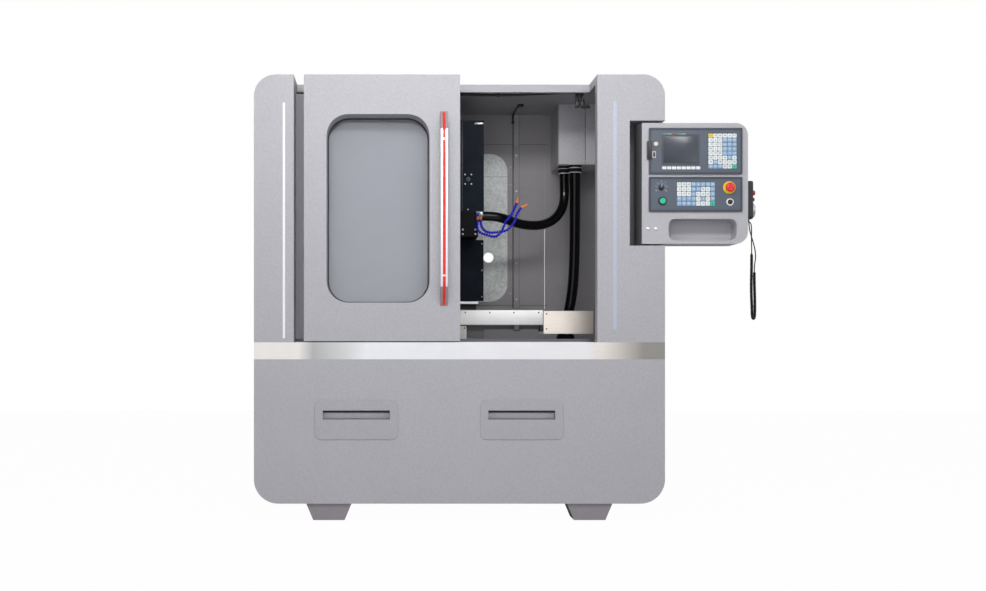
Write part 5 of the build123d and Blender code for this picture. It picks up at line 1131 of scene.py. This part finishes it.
finish_nodes(black_plastic, "pendant_body")
wheel_place, selector_place, red_stop_place = [
    at(pendant_face, pendant_middle, z) for z in (wheel_z, selector_z, red_stop_z)]
mesh = bmesh.new()
add_rim(mesh, (34, 1304), (108, 1461), 9, ((0, 0.4), (0.4, -0.7), (1.6, -0.7), (2, 0.4)), 0, 6, on_pendant)
add_turned(mesh, red_stop_place, sideways,
           ((15.5, -0.3), (15.5, 1.2), (14, 2.6), (12.2, 2.6), (12, 0)), 36, 1)
add_turned(mesh, selector_place, sideways, ((11.5, -0.3), (11.5, 0.7), (8.4, 0.9), (0, 0.9)), 32, 1)
for depth in (39, 103):
    for z in (1309, 1456):
        add_screw(mesh, at(pendant_face, depth, z), sideways, 2.2, 1, 1.4)
for number in range(10):
    angle = math.radians(36 * number)
    depth, z = pendant_middle + 34.5 * math.sin(angle), wheel_z + 34.5 * math.cos(angle)
    add_pad(mesh, (depth - 0.8, z - 0.8), (depth + 0.8, z + 0.8), 0.6, -0.25, 0.2, 0.1, 2, 2, on_pendant)
make_piece("pendant_trim", mesh, [black_plastic, dome_chrome, white_cap], "pod")

mesh = bmesh.new()
add_turned(mesh, wheel_place, sideways,
           ((4, -14), (4, 1), (29, 1.1), (30, 2.2), (30, 11.6), (28.8, 13), (25, 13.2), (22, 13.4),
            (21.6, 15.6), (20, 16), (0, 16)), 100, 0, 50, 0.012)
add_turned(mesh, at(pendant_face + 16, pendant_middle, 1355), sideways,
           ((5, -0.2), (5, 1.4), (4.2, 3.2), (2.4, 3.9), (0, 4)), 24, 1)
wheel = make_piece("jog_wheel", mesh, [valve_silver, black_plastic], "handwheel")
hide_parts("pendant_wheel")
mesh = bmesh.new()
add_turned(mesh, selector_place, sideways,
           ((4, -14), (4, 1), (7.5, 1.2), (7.5, 12), (6.6, 15.4), (0, 16)), 40, 0, 10, 0.1)
add_pad(mesh, (70.2, 1388), (71.8, 1393.4), 0.5, -16.3, -15.2, 0.2, 1, 2, on_pendant)
knob = make_piece("axis_knob", mesh, [black_plastic, white_cap], "pendant_selector")
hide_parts("pendant_knob")
mesh = bmesh.new()
add_turned(mesh, red_stop_place, sideways,
           ((4, -12), (4, 4.4), (10, 4.2), (11, 5.4), (11, 14.6), (9.6, 17.4), (6, 18.8), (0, 19)), 36)
stop = make_piece("pendant_stop_cap", mesh, [mushroom_red], "pendant_stop", 45)
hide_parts("pendant_estop")


# Pendant leads and curly cord: two thin black leads and a tight coil of the same lead between them,
# hanging in a narrow U beside the pod.
pod_lead = places_of((
    (1238, 50, 1293), (1251, 50, 1293), (1262.3, 50.5, 1286.5), (1268.8, 51, 1275.2), (1270, 53, 1248),
    (1270, 56.5, 1214), (1272, 60, 1181), (1272, 60, 1152),
))
pendant_lead = places_of((
    (1262, 70, 1306), (1262, 70, 1280), (1268, 71, 1244), (1281, 73, 1206), (1292, 77, 1168),
    (1295.5, 81, 1132), (1290, 84, 1102), (1290, 84, 1074),
))
coil_route = places_of((
    (1272, 60, 1152), (1272, 60, 1092), (1270, 59, 1030), (1270, 58, 972), (1273, 60, 918), (1274, 61, 870),
    (1292, 85, 870), (1293, 86, 918), (1292, 85, 970), (1290, 84, 1022), (1290, 84, 1074),
))
wire_radius = 0.0025
helix_radius = 0.0045
turn_pitch = 0.0053
steps_in_turn = 12
fade_steps = 14
wire = list(pod_lead[:-1])
axis_steps = even_steps(read_route(coil_route), turn_pitch / steps_in_turn)
for number, (place, side, across) in enumerate(untwisted(axis_steps)):
    from_end = min(number, len(axis_steps) - 1 - number)
    swing = helix_radius * min(1, from_end / fade_steps)
    wire.append(place + spoke(side, across, 2 * math.pi * number / steps_in_turn) * swing)
wire.extend(reversed(pendant_lead[:-1]))
pendant_cord = route_curve("pendant_curly_cord", wire, wire_radius)
pendant_cord.data.splines[0].resolution_u = 2
pendant_cord.data.bevel_resolution = 2
pendant_cord.data.materials.append(hose_black)
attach(pendant_cord, "pod")
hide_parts("pendant_cord", "pendant_coil")
tuple(pod_lead[0])
